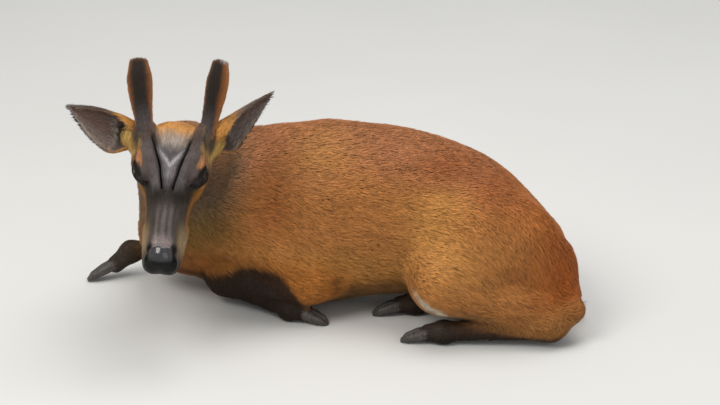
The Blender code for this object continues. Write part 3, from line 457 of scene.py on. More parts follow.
def with_masses(d, p, masses):
    """A body with rods (end, end, radius, radius, blend) and eggs (centre, radii, blend) added in turn."""
    for *shape, blend in masses:
        field = rod(p, *shape) if len(shape) == 4 else egg(p, *shape)
        d = smooth_min(d, field, blend)
    return d


# The head's own directions


def head_axes():
    """Back from the nose, out to the animal's left, and up through the forehead."""
    turn = math.radians(HEAD_TURN)
    pitch = math.radians(HEAD_PITCH)
    roll = math.radians(HEAD_ROLL)
    forward = (math.sin(turn) * math.cos(pitch), -math.cos(turn) * math.cos(pitch), -math.sin(pitch))
    forward = np.array(forward)
    left = np.array([math.cos(turn), math.sin(turn), 0.0])
    up = np.cross(forward, left)
    tilted = left * math.cos(roll) - up * math.sin(roll)
    return np.array([-forward, tilted, up * math.cos(roll) + left * math.sin(roll)])


AXES = head_axes()
TIP = np.array(HEAD_TIP)


def in_head(p):
    """World points in the head's own directions, from the nose tip."""
    return (p - TIP) @ AXES.T


def from_head(back, side, up):
    """A place of the head as a world point."""
    return TIP + np.array([back, side, up]) @ AXES


def from_head_box(*spans):
    """The corners of a box in the head's own directions, as world points."""
    return np.array([from_head(s, u, w) for s in spans[0] for u in spans[1] for w in spans[2]])


HEAD_CORNERS = from_head_box((-0.01, 0.25), (-0.09, 0.09), (-0.10, 0.05))


def mirrored(q):
    """Places of the head with both its sides laid over each other."""
    return q * (1, 0, 1) + np.abs(q) * (0, 1, 0)


def along_pedicle(t, side):
    """A place on the axis of a pedicle, t of the way from its root to its top."""
    a, b = (np.array(PEDICLES[side][end]) for end in ("root", "top"))
    middle = 0.5 * (a + b) + (0.0, HEAD_SIDE[side] * PEDICLE_BOW, -0.002)
    return a * (1 - t) ** 2 + middle * 2 * t * (1 - t) + b * t * t


def eye_directions(side=1):
    """In the head's own directions: the way an eye looks, along its lids to the nose, and across them."""
    look = unit(np.array(EYE_LOOK) * (1, side, 1))
    along = np.array((-1.0, -side * 0.22, -0.34))
    along = unit(along - look * np.dot(along, look))
    across = np.cross(look, along)
    return look, along, across * (1 if across[2] > 0 else -1)


def at_eye(m):
    """How far points are along the eye, across it and out of it, and how far outside the edge of the lids."""
    look, along, across = eye_directions()
    e = m - np.array(EYE_PLACE)
    x, y, z = e @ along, e @ across, e @ look
    edge = lid_curve(np.arctan2(y / EYE_OPENING[1], x / EYE_OPENING[0]))
    return x, y, z, np.hypot(x, y) - np.hypot(*edge)


def lid_curve(angle):
    """The edge of the lids: how far along and across the eye it is. It is drawn out toward the nose."""
    x = EYE_OPENING[0] * np.cos(angle) * (1.0 + 0.12 * np.cos(angle))
    y = EYE_OPENING[1] * np.sin(angle) * (1.0 - 0.22 * np.cos(2 * angle))
    return x, y * np.where(np.sin(angle) > 0, 1.1, 0.9)


def beside_slit(m):
    """How far to the side of the nearest forehead slit a place on the forehead is."""
    line = [(s, u, 0.0) for s, u, _ in FOREHEAD_SLIT]
    return np.where(m[:, 2] > -0.004, to_line(m * (1.0, 1.0, 0.0), line), 1.0)


# The parts of the flesh


def places(leg, names):
    return [leg[name] for name in names.split()]


def trunk_field(p):
    x, y, z = p.T
    d = lofted(x, y, z, TRUNK)
    d = smooth_max(d, TRUNK[0][0] - x, TRUNK_END_ROUNDING)
    d = smooth_max(d, x - TRUNK[-1][0], TRUNK_END_ROUNDING)
    return with_masses(d, p, [WITHERS])


def neck_field(p):
    d = chain(p, NECK_LINE, NECK_RADII, 0.03)
    return smooth_min(d, chain(p, THROAT_LINE, THROAT_RADII, 0.03), 0.07)


def tail_field(p):
    return chain(p, TAIL_LINE, TAIL_RADII, 0.012, TAIL_FLAT, TAIL_FLATNESS)


def fore_leg_field(p, leg):
    blade = rod(p, leg["blade"], leg["shoulder"], 0.030, 0.038, (0, 1, 0), 0.8)
    upper = 0.5 * np.add(leg["blade"], leg["elbow"]) + (0.008, leg["outward"] * 0.012, -0.006)
    triceps = egg(p, upper, (0.062, 0.036, 0.075))
    arm = rod(p, leg["shoulder"], leg["elbow"], 0.040, 0.030)
    forearm = chain(p, places(leg, "point elbow wrist"), (0.018, 0.032, 0.0185), 0.012)
    muscle = np.asarray(leg["elbow"]) * 0.68 + np.asarray(leg["wrist"]) * 0.32
    forearm = smooth_min(forearm, egg(p, muscle, (0.042, 0.026, 0.030)), 0.02)
    d = smooth_min(blade, triceps, 0.04)
    d = smooth_min(d, arm, 0.03)
    d = smooth_min(d, forearm, 0.02)
    return smooth_min(d, ball(p, leg["wrist"], 0.0205), 0.012)


def foot_field(p, leg, shank, knuckle, toe):
    """A foot: its shank, a round knuckle, and the toe from there to the hoof."""
    d = smooth_min(shank, ball(p, leg["knuckle"], knuckle), 0.010)
    return smooth_min(d, rod(p, leg["knuckle"], leg["hoof"], toe, 0.0130), 0.008)


def fore_foot_field(p, leg):
    return foot_field(p, leg, rod(p, leg["wrist"], leg["knuckle"], 0.0170, 0.0125), 0.0155, 0.0145)


def hind_leg_field(p, leg):
    haunch = np.asarray(leg["hip"]) + (0.004, leg["outward"] * 0.020, -0.010)
    calf = 0.5 * np.add(leg["hock"], leg["knee"]) + (0.02, 0, 0.01)
    d = smooth_min(egg(p, haunch, (0.086, 0.050, 0.080)), ball(p, leg["buttock"], 0.036), 0.06)
    masses = (
        (leg["buttock"], leg["heel"], 0.034, 0.015, 0.03),
        (leg["hip"], leg["knee"], 0.062, 0.038, 0.04),
        (leg["knee"], leg["hock"], 0.040, 0.021, 0.03),
        (calf + 0.5 * (leg["heel"] - calf), calf, 0.012, 0.018, 0.025),
    )
    return with_masses(d, p, masses)


def hind_foot_field(p, leg):
    shank = chain(p, places(leg, "heel hock knuckle"), (0.0130, 0.0200, 0.0135), 0.012)
    return foot_field(p, leg, shank, 0.0160, 0.0150)


def skull_field(p, q, m):
    """The head with its main hollows."""
    d = lofted(*m.T, SKULL)
    d = smooth_max(d, SKULL[0][0] - m[:, 0], 0.012)
    d = smooth_max(d, m[:, 0] - SKULL[-1][0], 0.03)
    d = with_masses(d, m, HEAD_MASSES)
    # The base of each pedicle and of each ear
    for side, ear in EARS.items():
        number = HEAD_SIDE[side]
        stem = rod(q, (0.166, number * 0.032, 0.010), along_pedicle(0.10, side), 0.0130, 0.0125)
        d = smooth_min(d, stem, 0.016)
        root = from_head(0.176, number * 0.030, -0.012)
        end = from_head(*ear["base"]) + unit(ear["axis"]) * 0.010
        d = smooth_min(d, rod(p, root, end, 0.022, EAR_ROOT_RADIUS), 0.014)
    d = smooth_max(d, -chain(m, FOREHEAD_SLIT, (0.0036, 0.0032, 0.0022), 0.003), 0.003)
    d = smooth_max(d, -rod(m, *EYE_HOLLOW, 0.0040, 0.0030), 0.005)
    for a, b in zip(MOUTH_LINE, MOUTH_LINE[1:]):
        d = smooth_max(d, -rod(m, a, b, 0.0024, 0.0022), 0.0015)
    return d


def face_field(p):
    """The head with the folds that the coat doesn't hide: slits, glands, lids and lips."""
    q = in_head(p)
    m = mirrored(q)
    d = skull_field(p, q, m)
    # A raised rim along each forehead slit, highest on its inner side, and the slits themselves
    slit = beside_slit(m)
    back, side, _ = np.array(FOREHEAD_SLIT[::-1]).T
    within = m[:, 1] < np.interp(m[:, 0], back, side)
    d = d - np.where(within, 0.0022, 0.0012) * bell(slit - 0.0044, 0.0022)
    d = smooth_max(d, -np.maximum(slit - 0.0012, -0.0042 - d), 0.0012)
    # The fold of the gland before the eye
    gland = chain(m, GLAND, (0.0016, 0.0024, 0.0014), 0.002)
    d = smooth_min(d, np.maximum(gland - 0.0026, -0.003 - d), 0.0025)
    d = smooth_max(d, -gland, 0.0014)
    # The lids: a swelling over the eye with an almond opening, and a crease above it
    _, y, z, reach = at_eye(m)
    crease = np.where((y > 0) & (z > 0), np.abs(reach - 0.0050) - 0.0006, 0.01)
    d = smooth_max(d, -np.maximum(reach, 0.004 - z), 0.0016)
    d = smooth_max(d, -np.maximum(crease, -0.0010 - d), 0.0014)
    # Nostrils run back along the sides of the nose pad, and a groove parts the upper lip
    d = smooth_max(d, -chain(m, NOSTRIL, (0.0034, 0.0040, 0.0022), 0.002), 0.0016)
    return smooth_max(d, -rod(m, *LIP_GROOVE, 0.0012, 0.0010), 0.0014)


def nose_field(m):
    """The space of the bare nose pad, in the head's own directions."""
    return egg(m, NOSE_CENTRE, NOSE_RADII)


def near_only(p, points, margin, field):
    """A field worked out close to its part. Further off it is the distance to a ball round the part."""
    points = np.asarray(points, float)
    centre = 0.5 * (points.min(axis=0) + points.max(axis=0))
    d = gap(p, centre) - (gap(points, centre).max() + margin)
    close = d < 0.06
    if close.any():
        d[close] = field(p[close])
    return d


# The limbs: name, joints that each spans, how far it reaches round them, and its field
LIMBS = (
    ("foreleg_", FORE, "blade shoulder elbow point wrist", 0.08, fore_leg_field),
    ("forefoot_", FORE, "wrist knuckle hoof", 0.03, fore_foot_field),
    ("hindleg_", HIND, "hip knee hock heel buttock", 0.10, hind_leg_field),
    ("hindfoot_", HIND, "heel hock knuckle hoof", 0.03, hind_foot_field),
)


def flesh_fields(p):
    """The distance to each part of the flesh, worked out only where it is near."""
    fields = {
        "torso": trunk_field(p),
        "neck": near_only(p, NECK_LINE + THROAT_LINE, 0.08, neck_field),
        "head": near_only(p, HEAD_CORNERS, 0.0, face_field),
        "tail": near_only(p, TAIL_LINE, 0.03, tail_field),
    }
    for name, legs, joints, margin, field in LIMBS:
        for side, leg in legs.items():
            fields[name + side] = near_only(p, places(leg, joints), margin, lambda q: field(q, leg))
    return fields


def beside_head(fields):
    """Less than zero where the head is nearer than any other flesh."""
    others = [d for name, d in fields.items() if name != "head"]
    return 0.5 * (fields["head"] - np.min(others, axis=0))


def part_weights(fields):
    """How much each part has to say at each point."""
    stack = np.stack(list(fields.values()))
    weight = np.exp(-(stack - stack.min(axis=0)) / 0.010)
    return dict(zip(fields, weight / weight.sum(axis=0)))


def by_part(weights, table):
    """A measure that each part of the flesh has, shared out by the weights."""
    return sum(weight * table[name.split("_")[0]] for name, weight in weights.items())


def coat_depth(p, weights):
    depth = by_part(weights, COAT_DEPTH)
    q = in_head(p)
    s = q[:, 0]
    face = 0.0009 + 0.0012 * rise(s, 0.05, 0.12) + 0.0022 * rise(s, 0.16, 0.21)
    face += 0.0016 * rise(-q[:, 2], 0.03, 0.06) * rise(s, 0.06, 0.12)
    depth += weights["head"] * (face - COAT_DEPTH["head"])
    for side in (1, -1):
        eye = gap(q, np.array(EYE_PLACE) * (1, side, 1))
        depth *= 1.0 - weights["head"] * 0.75 * fall(eye, 0.019, 0.026)
    return depth


def skin_field(p, fields=None):
    """The skin under the coat: all the flesh as one, less the coat's depth."""
    fields = fields or flesh_fields(p)
    d = fields["torso"]
    for name, blend in BLENDS:
        d = smooth_min(d, fields[name], blend)
    return d + coat_depth(p, part_weights(fields))


# Surfaces from fields


def normals_of(points, quads):
    corner = points[quads]
    across = np.cross(corner[:, 2] - corner[:, 0], corner[:, 3] - corner[:, 1])
    normals = np.zeros(points.shape)
    for k in range(4):
        np.add.at(normals, quads[:, k], across)
    return normals / np.maximum(np.linalg.norm(normals, axis=1), 1e-12)[:, None]


def sampled(field, low, cell, shape):
    """The field on a grid: fine where its surface may run, and one rough value a block elsewhere."""
    blocks = tuple(n // BLOCK for n in shape)
    index = np.stack(np.meshgrid(*[np.arange(n) for n in blocks], indexing="ij"), -1).reshape(-1, 3)
    rough = field(low + (index + 0.5) * BLOCK * cell)
    near = np.abs(rough) < BLOCK * cell * 1.2
    values = np.kron(rough.reshape(blocks), np.ones((BLOCK,) * 3))
    inside = np.stack(np.meshgrid(*[np.arange(BLOCK)] * 3, indexing="ij"), -1).reshape(-1, 3)
    chosen = (index[near][:, None, :] * BLOCK + inside[None]).reshape(-1, 3)
    for part in np.array_split(chosen, max(1, len(chosen) // 150000)):
        values[tuple(part.T)] = field(low + part * cell)
    return values


def surface(field, low, high, cell):
    """Points, four-sided faces and normals of the surface where the field is zero, between two corners."""
    low = np.asarray(low)
    shape = [-(-int(math.ceil(side / cell) + 2) // BLOCK) * BLOCK for side in np.asarray(high) - low]
    values = sampled(field, low, cell, shape)
    cells = tuple(n - 1 for n in shape)
    place = np.zeros(cells + (3,))
    count = np.zeros(cells)
    rings = []
    for axis in range(3):
        v = np.moveaxis(values, axis, 0)
        crossing = (v[:-1] < 0) != (v[1:] < 0)
        at = np.argwhere(crossing)
        first, second = [k for k in range(3) if k != axis]
        within = (at[:, 1:] > 0).all(axis=1) & (at[:, 1] < cells[first]) & (at[:, 2] < cells[second])
        one, other = v[:-1][crossing][within], v[1:][crossing][within]
        spot = np.zeros((int(within.sum()), 3), int)
        spot[:, [axis, first, second]] = at[within]
        point = spot.astype(float)
        point[:, axis] += one / (one - other)
        # The four cells round the edge that is crossed, in a ring
        ring = []
        for j, k in ((1, 1), (0, 1), (0, 0), (1, 0)):
            c = spot.copy()
            c[:, first] -= j
            c[:, second] -= k
            ring.append(tuple(c.T))
            np.add.at(place, ring[-1], point)
            np.add.at(count, ring[-1], 1)
        rings.append((ring, (one < 0) != (axis == 1)))
    used = count > 0
    number = np.full(cells, -1)
    number[used] = np.arange(int(used.sum()))
    points = low + place[used] / count[used][:, None] * cell
    quads = []
    for ring, turned in rings:
        quad = np.stack([number[c] for c in ring], axis=1)
        quads.append(np.where(turned[:, None], quad, quad[:, ::-1]))
    quads = np.concatenate(quads)
    for _ in range(2):
        miss = np.clip(field(points), -0.6 * cell, 0.6 * cell)
        points = points - normals_of(points, quads) * miss[:, None]
    return points, quads, normals_of(points, quads)


def strip(rows, count, closed=False):
    """Faces between rows of points, each row a ring of count points."""
    i = np.arange(rows)[:, None] * count
    after = (i + count) % (rows * count) if closed else i + count
    j = np.arange(count)[None]
    k = (j + 1) % count
    return np.stack([i + j, i + k, after + k, after + j], axis=-1).reshape(-1, 4)


def turned_out(points, quads, out):
    """The faces, turned round if they don't face out."""
    return quads[:, ::-1] if np.sum(normals_of(points, quads) * out) < 0 else quads


# Numbers and directions that vary over space


def speckle(p, size, seed):
    """Smooth random numbers from -1 to 1, which change over about the size."""
    q = p / size + seed * 7.31
    i = np.floor(q).astype(np.int64)
    f = q - i
    f = f * f * (3 - 2 * f)
    total = np.zeros(len(p))
    for corner in np.ndindex(2, 2, 2):
        at = (i + corner) * (73856093, 19349663, 83492791)
        h = at[:, 0] ^ at[:, 1] ^ at[:, 2] ^ seed * 2654435
        h = ((h ^ (h >> 13)) * 1274126177) & 0xFFFFFFFF
        value = ((h ^ (h >> 16)) & 0xFFFF) / 32767.5 - 1.0
        total += value * np.where(corner, f, 1 - f).prod(axis=1)
    return total


def along_line(p, points):
    """The way a line through the points runs, beside each point of p."""
    points = np.asarray(points, float)
    total = np.zeros(p.shape)
    for a, b in zip(points, points[1:]):
        total += unit(b - a) / (rod(p, a, b)[:, None] + 0.004) ** 4
    return total / np.linalg.norm(total, axis=1)[:, None]


def lie_of(p, weights):
    """The way the hair lies at each point, before it is laid along the skin."""
    x, _, z = p.T
    turn = 0.10 + 1.05 * rise(x, 0.10, 0.27)
    back = np.stack([np.cos(turn), 0 * x, -np.sin(turn)], axis=1)
    lie = weights["torso"][:, None] * back
    lie += weights["neck"][:, None] * along_line(p, NECK_LINE[::-1])
    lie += weights["tail"][:, None] * along_line(p, TAIL_LINE)
    for name, legs, shaft, foot, drop in (
        ("fore", FORE, "shoulder elbow wrist knuckle", "wrist knuckle hoof", -0.35),
        ("hind", HIND, "knee hock heel", "heel hock knuckle hoof", -0.30),
    ):
        for side, leg in legs.items():
            high = rise(z, 0.050, 0.110) if name == "hind" else rise(gap(p, leg["wrist"]), 0.085, 0.14)
            down = along_line(p, places(leg, shaft))
            way = toward(down, back + (0, 0, drop), high)
            lie += weights[name + "leg_" + side][:, None] * way
            lie += weights[name + "foot_" + side][:, None] * along_line(p, places(leg, foot))
    _, u, w = in_head(p).T
    out = np.sign(u) * rise(np.abs(u), 0.004, 0.03)
    face = np.stack([np.ones(len(p)), 0.22 * out, -0.30 * rise(-w, -0.01, 0.04)], axis=1)
    return lie + weights["head"][:, None] * (face @ AXES)


# Colours, turned from what an eye reads on a screen to the light that they give back


def tone(name):
    c = np.array(SCREEN_TONES[name], float) / 255.0
    return np.where(c <= 0.04045, c / 12.92, ((c + 0.055) / 1.055) ** 2.4)


def toward(colour, other, share):
    """Mixes rows of colour toward another colour by a share for each row."""
    share = np.clip(share, 0.0, 1.0)[:, None]
    return colour * (1 - share) + np.asarray(other) * share


class Paint:
    """A colour for each point, built up as one tone after another is mixed in."""

    def __init__(self, points, first):
        self.colour = np.tile(tone(first), (len(points), 1))

    def __call__(self, other, share):
        other = tone(other) if isinstance(other, str) else other
        self.colour = toward(self.colour, other, share)


def body_colour(p, normal, weights):
    x, y, z = p.T
    near_side = fall(y, -0.05, -0.03)
    paint = Paint(p, "trunk")
    paint("back", rise(normal[:, 2], 0.35, 0.85) * rise(z, 0.17, 0.23))
    # The golden patches among these are painted highlight on the lit near side
    for name, strength, centre, sizes in PATCHES:
        away = (p - np.array(centre)) / np.array(sizes)
        paint(name, strength * np.exp(-np.sum(away**2, axis=1)))
    # Deep red-brown down the rump and the tail
    paint("rump", 0.9 * rise(x, 0.205, 0.285) * rise(z, 0.03, 0.07))
    paint("rump", 0.40 * rise(x, 0.14, 0.22) * rise(z, 0.14, 0.20))
    # Duller low on the sides, and pale under the belly and between the thighs
    paint("low", 0.75 * fall(z, 0.075, 0.145) * (1 - weights["hindleg_left"]))
    under = rise(-normal[:, 2], 0.25, 0.75) * fall(z, 0.03, 0.075)
    trunk = weights["torso"] + weights["hindleg_left"] + weights["hindleg_right"]
    paint("belly", 0.85 * under * np.clip(trunk, 0, 1))
    # The neck is grey-brown, olive at the side and browner along the top and the throat's front edge
    neck = Paint(p, "neck")
    neck("throat", fall(z, 0.130, 0.200))
    neck("trunk", 0.55 * rise(z, 0.205, 0.285))
    neck("throat_edge", 0.85 * rise(-x, 0.285, 0.312))
    on_neck = np.maximum(rise(-x, 0.150, 0.222) * rise(z, 0.09, 0.15), weights["neck"] * rise(-x, 0.13, 0.2))
    paint(neck.colour, on_neck * (1 - 0.35 * rise(y, -0.06, 0.04)))
    paint("chest", 0.85 * fall(z, 0.080, 0.125) * rise(-x, 0.16, 0.22) * (weights["neck"] + weights["torso"]))
    # Each foreleg turns dark down its front, each hind one from the hock
    for side, leg in FORE.items():
        wrist = gap(p, leg["wrist"])
        part = weights["foreleg_" + side]
        front = fall(wrist, 0.075, 0.128) * fall(z, 0.054, 0.068)
        paint("arm", 0.7 * part * fall(z, 0.08, 0.12))
        paint("shin", part * np.maximum(front, fall(wrist, 0.025, 0.045)))
        foot = weights["forefoot_" + side]
        paint("shin", foot)
        paint("foot", foot * fall(gap(p, leg["hoof"]), 0.02, 0.045))
    for side, leg in HIND.items():
        foot = weights["hindfoot_" + side]
        paint("hock", foot)
        paint("shin", foot * fall(gap(p, leg["knuckle"]), 0.06, 0.13))
        paint("foot", foot * fall(gap(p, leg["hoof"]), 0.02, 0.045))
    # The near forearm is dark up to a ragged arch, and shade is painted into the creases behind the elbow and
    # before the knee
    top = np.interp(x, ARM_PLACES, ARM_TOPS) + 0.006 * speckle(p, 0.010, 31)
    paint("shin", 0.94 * rise(top - z, -0.004, 0.008) * near_side)
    paint("crease", 0.60 * bell(to_line(p, KNEE_CREASE_SHADE), 0.0065))
    paint("crease", 0.62 * bell(to_line(p, ELBOW_CREASE_SHADE), 0.0048))
    # Painted shade along the foot of the flank, between the two
    shade = rise(0.058 + 0.22 * (x + 0.035) - z, -0.012, 0.010) * rise(x, -0.058, -0.036)
    paint("crease", 0.55 * shade * fall(x, 0.052, 0.072) * near_side * weights["torso"])
    paint("white", 0.95 * fall(to_line(p, THIGH_EDGE), 0.0060, 0.0105))
    # The tail is red above and at its edges, and white beneath, against the rump
    beneath = rise(-normal[:, 0], 0.35, 0.8)
    paint("rump", weights["tail"] * (1 - beneath))
    paint("white", weights["tail"] * beneath)
    return paint.colour * (1 + 0.08 * speckle(p, 0.045, 3) + 0.04 * speckle(p, 0.016, 4))[:, None]


def face_colour(p):
    q = in_head(p)
    m = mirrored(q)
    s, u, w = m.T
    paint = Paint(p, "face")
    # Cheeks, throat and the buff sides of the muzzle
    ragged = 0.004 * speckle(q * (0.3, 1, 1), 0.004, 21)
    low = rise(u - 0.55 * w, 0.030 + 0.010 * rise(s, 0.10, 0.14), 0.046)
    paint("cheek", 0.95 * low * rise(s, 0.03, 0.09))
    paint("golden", 0.65 * rise(ragged - to_line(m, JAW_LINE), -0.015, -0.002))
    paint("under_jaw", 0.7 * rise(-w, 0.034, 0.055) * rise(s, 0.06, 0.12))
    paint("muzzle", bell(s - 0.046, 0.020) * rise(u, 0.014, 0.025))
    paint("chin", rise(-w, 0.036, 0.048) * fall(s, 0.045, 0.085))
    # The bridge of the nose: pale streaks on dark, and a dark bar between the eyes
    bridge = fall(u, 0.010, 0.018) * rise(w, -0.012, 0.0)
    streak = 0.5 + 0.5 * np.cos(u * 2 * math.pi / 0.0085 + 1.2 * speckle(p, 0.02, 5))
    paint("grey", bridge * (0.10 + 0.45 * streak) * fall(s, 0.076, 0.094) * rise(s, 0.016, 0.03))
    paint("pale", 0.75 * bridge * fall(s, 0.032, 0.054))
    paint("black", 0.55 * bell(s - 0.101, 0.009) * fall(u, 0.018, 0.030) * rise(w, -0.01, 0.0))
    # The forehead: grey, with painted highlight on the ridges inside the black slits, and grey brows outside
    # them
    fore = rise(s, 0.104, 0.118) * rise(w, -0.004, 0.008) * fall(u, 0.034, 0.044)
    paint("forehead", 0.8 * fore)
    paint("brow_grey", 0.85 * fore * rise(u, 0.016, 0.024))
    paint("wedge", 0.8 * fore * bell(s - 0.159, 0.006) * fall(u, 0.006, 0.016))
    paint("ridge", fore * bell(to_line(m * (1.0, 1.0, 0.0), RIDGE_HIGHLIGHT_LINE), 0.0024))
    plate = rise(np.interp(s, (0.110, 0.145), (0.007, 0.0125)) - u, -0.002, 0.003)
    plate *= rise(0.143 + 1.17 * u - s, 0.0, 0.006) * rise(s, 0.119, 0.130)
    paint("plate", 0.78 * fore * plate)
    slit = beside_slit(m)
    paint("slit_side", 0.7 * bell(slit, 0.0048))
    # The crown is orange, the temples buff
    uneven = s + 0.15 * (w - 0.02) + 0.003 * speckle(p, 0.006, 22) - 0.10 * u
    paint("crown_front", 0.9 * rise(uneven, 0.160, 0.180) * fall(u, 0.026, 0.036))
    paint("crown", rise(uneven + 0.25 * u, 0.180, 0.200))
    temple = rise(s, 0.138, 0.152) * rise(u, 0.036, 0.043) * rise(w, -0.024, 0.000)
    paint("temple", 0.8 * temple)
    paint("buff", 0.95 * temple * rise(s + 0.6 * (u - 0.045), 0.154, 0.168))
    paint("nape", 0.8 * rise(s, 0.150, 0.180) * rise(-w, 0.0, 0.03))
    paint("brow", 0.85 * rise(ragged - to_line(m, BROW_LINE), -0.0085, -0.0030))
    # Black round the eye, in the gland before it, in the slits, on the lips and round the nostrils
    x, y, _, _ = at_eye(m)
    paint("black", fall(np.hypot(x / 1.5 - 0.002, y), 0.0085, 0.0130))
    paint("black", rise(0.4 * ragged - to_line(m, EYE_BAND), -0.0058, -0.0028))
    paint("black", 0.9 * bell(to_line(m, GLAND), 0.0060))
    paint("black", fall(slit, 0.0020, 0.0036))
    paint("black", 0.9 * bell(to_line(m, MOUTH_LINE), 0.0030))
    paint("black", fall(to_line(m, NOSTRIL), 0.0045, 0.0072))
    for side in SIDES:
        foot = [along_pedicle(t, side) for t in (-0.16, 0.05, 0.3)]
        paint("stem_foot", 0.9 * fall(to_line(q, foot), 0.0125, 0.0165) * rise(s, 0.160, 0.176))
    # Strands in the buff tufts, and painted shade in the hollow that they hang before
    paint.colour *= (1 + 0.30 * temple * speckle(p * (1, 1, 0.12), 0.0022, 33))[:, None]
    for ear in EARS.values():
        out = p - from_head(*ear["base"])
        hollow_shade = rise(out @ unit(ear["axis"]), 0.014, 0.021) * rise(out @ unit(ear["opening"]), 0.0, 0.008)
        paint("ear_hollow", 0.9 * hollow_shade)
    streaks = speckle(q * (0.25, 1, 1), 0.0025, 9)
    return paint.colour * (1 + 0.16 * streaks + 0.05 * speckle(p, 0.03, 4))[:, None]


# Meshes and the coat

HOME = np.zeros(3)


def new_mesh(name, points, faces, material, tint=None):
    """An object made of points and faces, moved to where the solids are."""
    mesh = bpy.data.meshes.new(name)
    faces = np.asarray(faces)
    n, k = faces.shape
    mesh.vertices.add(len(points))
    mesh.vertices.foreach_set("co", (np.asarray(points) + HOME).astype(np.float32).ravel())
    mesh.loops.add(n * k)
    mesh.loops.foreach_set("vertex_index", faces.astype(np.int32).ravel())
    mesh.polygons.add(n)
    mesh.polygons.foreach_set("loop_start", np.arange(0, n * k, k, dtype=np.int32))
    mesh.polygons.foreach_set("use_smooth", np.ones(n, bool))
    mesh.update(calc_edges=True)
    if tint is not None:
        layer = mesh.color_attributes.new("tint", "FLOAT_COLOR", "POINT")
        rgba = np.ones((len(points), 4), np.float32)
        rgba[:, :3] = np.clip(tint, 0.0, 1.0)
        layer.data.foreach_set("color", rgba.ravel())
    obj = bpy.data.objects.new(name, mesh)
    bpy.context.scene.collection.objects.link(obj)
    mesh.materials.append(material)
    return obj


def dressed(obj, slot, *nodes):
    """Hides the nodes that a piece stands for and sets it on what it rides on, the root body. Where it
    belongs, its slot, is not used.
    """
    if nodes:
        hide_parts(*nodes)
    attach(obj, "root")


def unwrapped(points, quads):
    """The place of each corner of each face on a flat unwrap of the surface."""
    obj = new_mesh("unwrap", points, quads, None)
    bpy.context.view_layer.objects.active = obj
    obj.select_set(True)
    bpy.ops.object.mode_set(mode="EDIT")
    bpy.ops.mesh.select_all(action="SELECT")
    bpy.ops.uv.smart_project(angle_limit=math.radians(66), island_margin=0.004)
    bpy.ops.object.mode_set(mode="OBJECT")
    flat = np.zeros(len(quads) * 8, np.float32)
    obj.data.uv_layers.active.data.foreach_get("uv", flat)
    mesh = obj.data
    bpy.data.objects.remove(obj)
    bpy.data.meshes.remove(mesh)
    return flat.reshape(-1, 4, 2).astype(float)


def scatter(points, quads, spacing):
    """Even places on a surface: the face of each, and how much of each of its corners it takes."""
    corner = points[quads]
    across = np.cross(corner[:, 2] - corner[:, 0], corner[:, 3] - corner[:, 1])
    area = 0.5 * np.linalg.norm(across, axis=1)
    every = np.maximum(spacing[quads].mean(axis=1), 1e-4)
    bare = spacing[quads].min(axis=1) <= 0
    total = np.cumsum(np.where(bare, 0.0, area / every**2))
    k = np.arange(int(total[-1]))
    at = np.searchsorted(total, k + 0.5)
    a, b = ((k * step + STRAY * rng.random(len(k))) % 1.0 for step in EVEN_STEPS)
    return at, np.stack([(1 - a) * (1 - b), a * (1 - b), a * b, (1 - a) * b], axis=1)


def settled(points, normal, height):
    """Moves points along the normals until they are at a height over the skin."""
    miss = height - skin_field(points)
    return points + normal * np.clip(miss, -0.007, 0.007)[:, None]


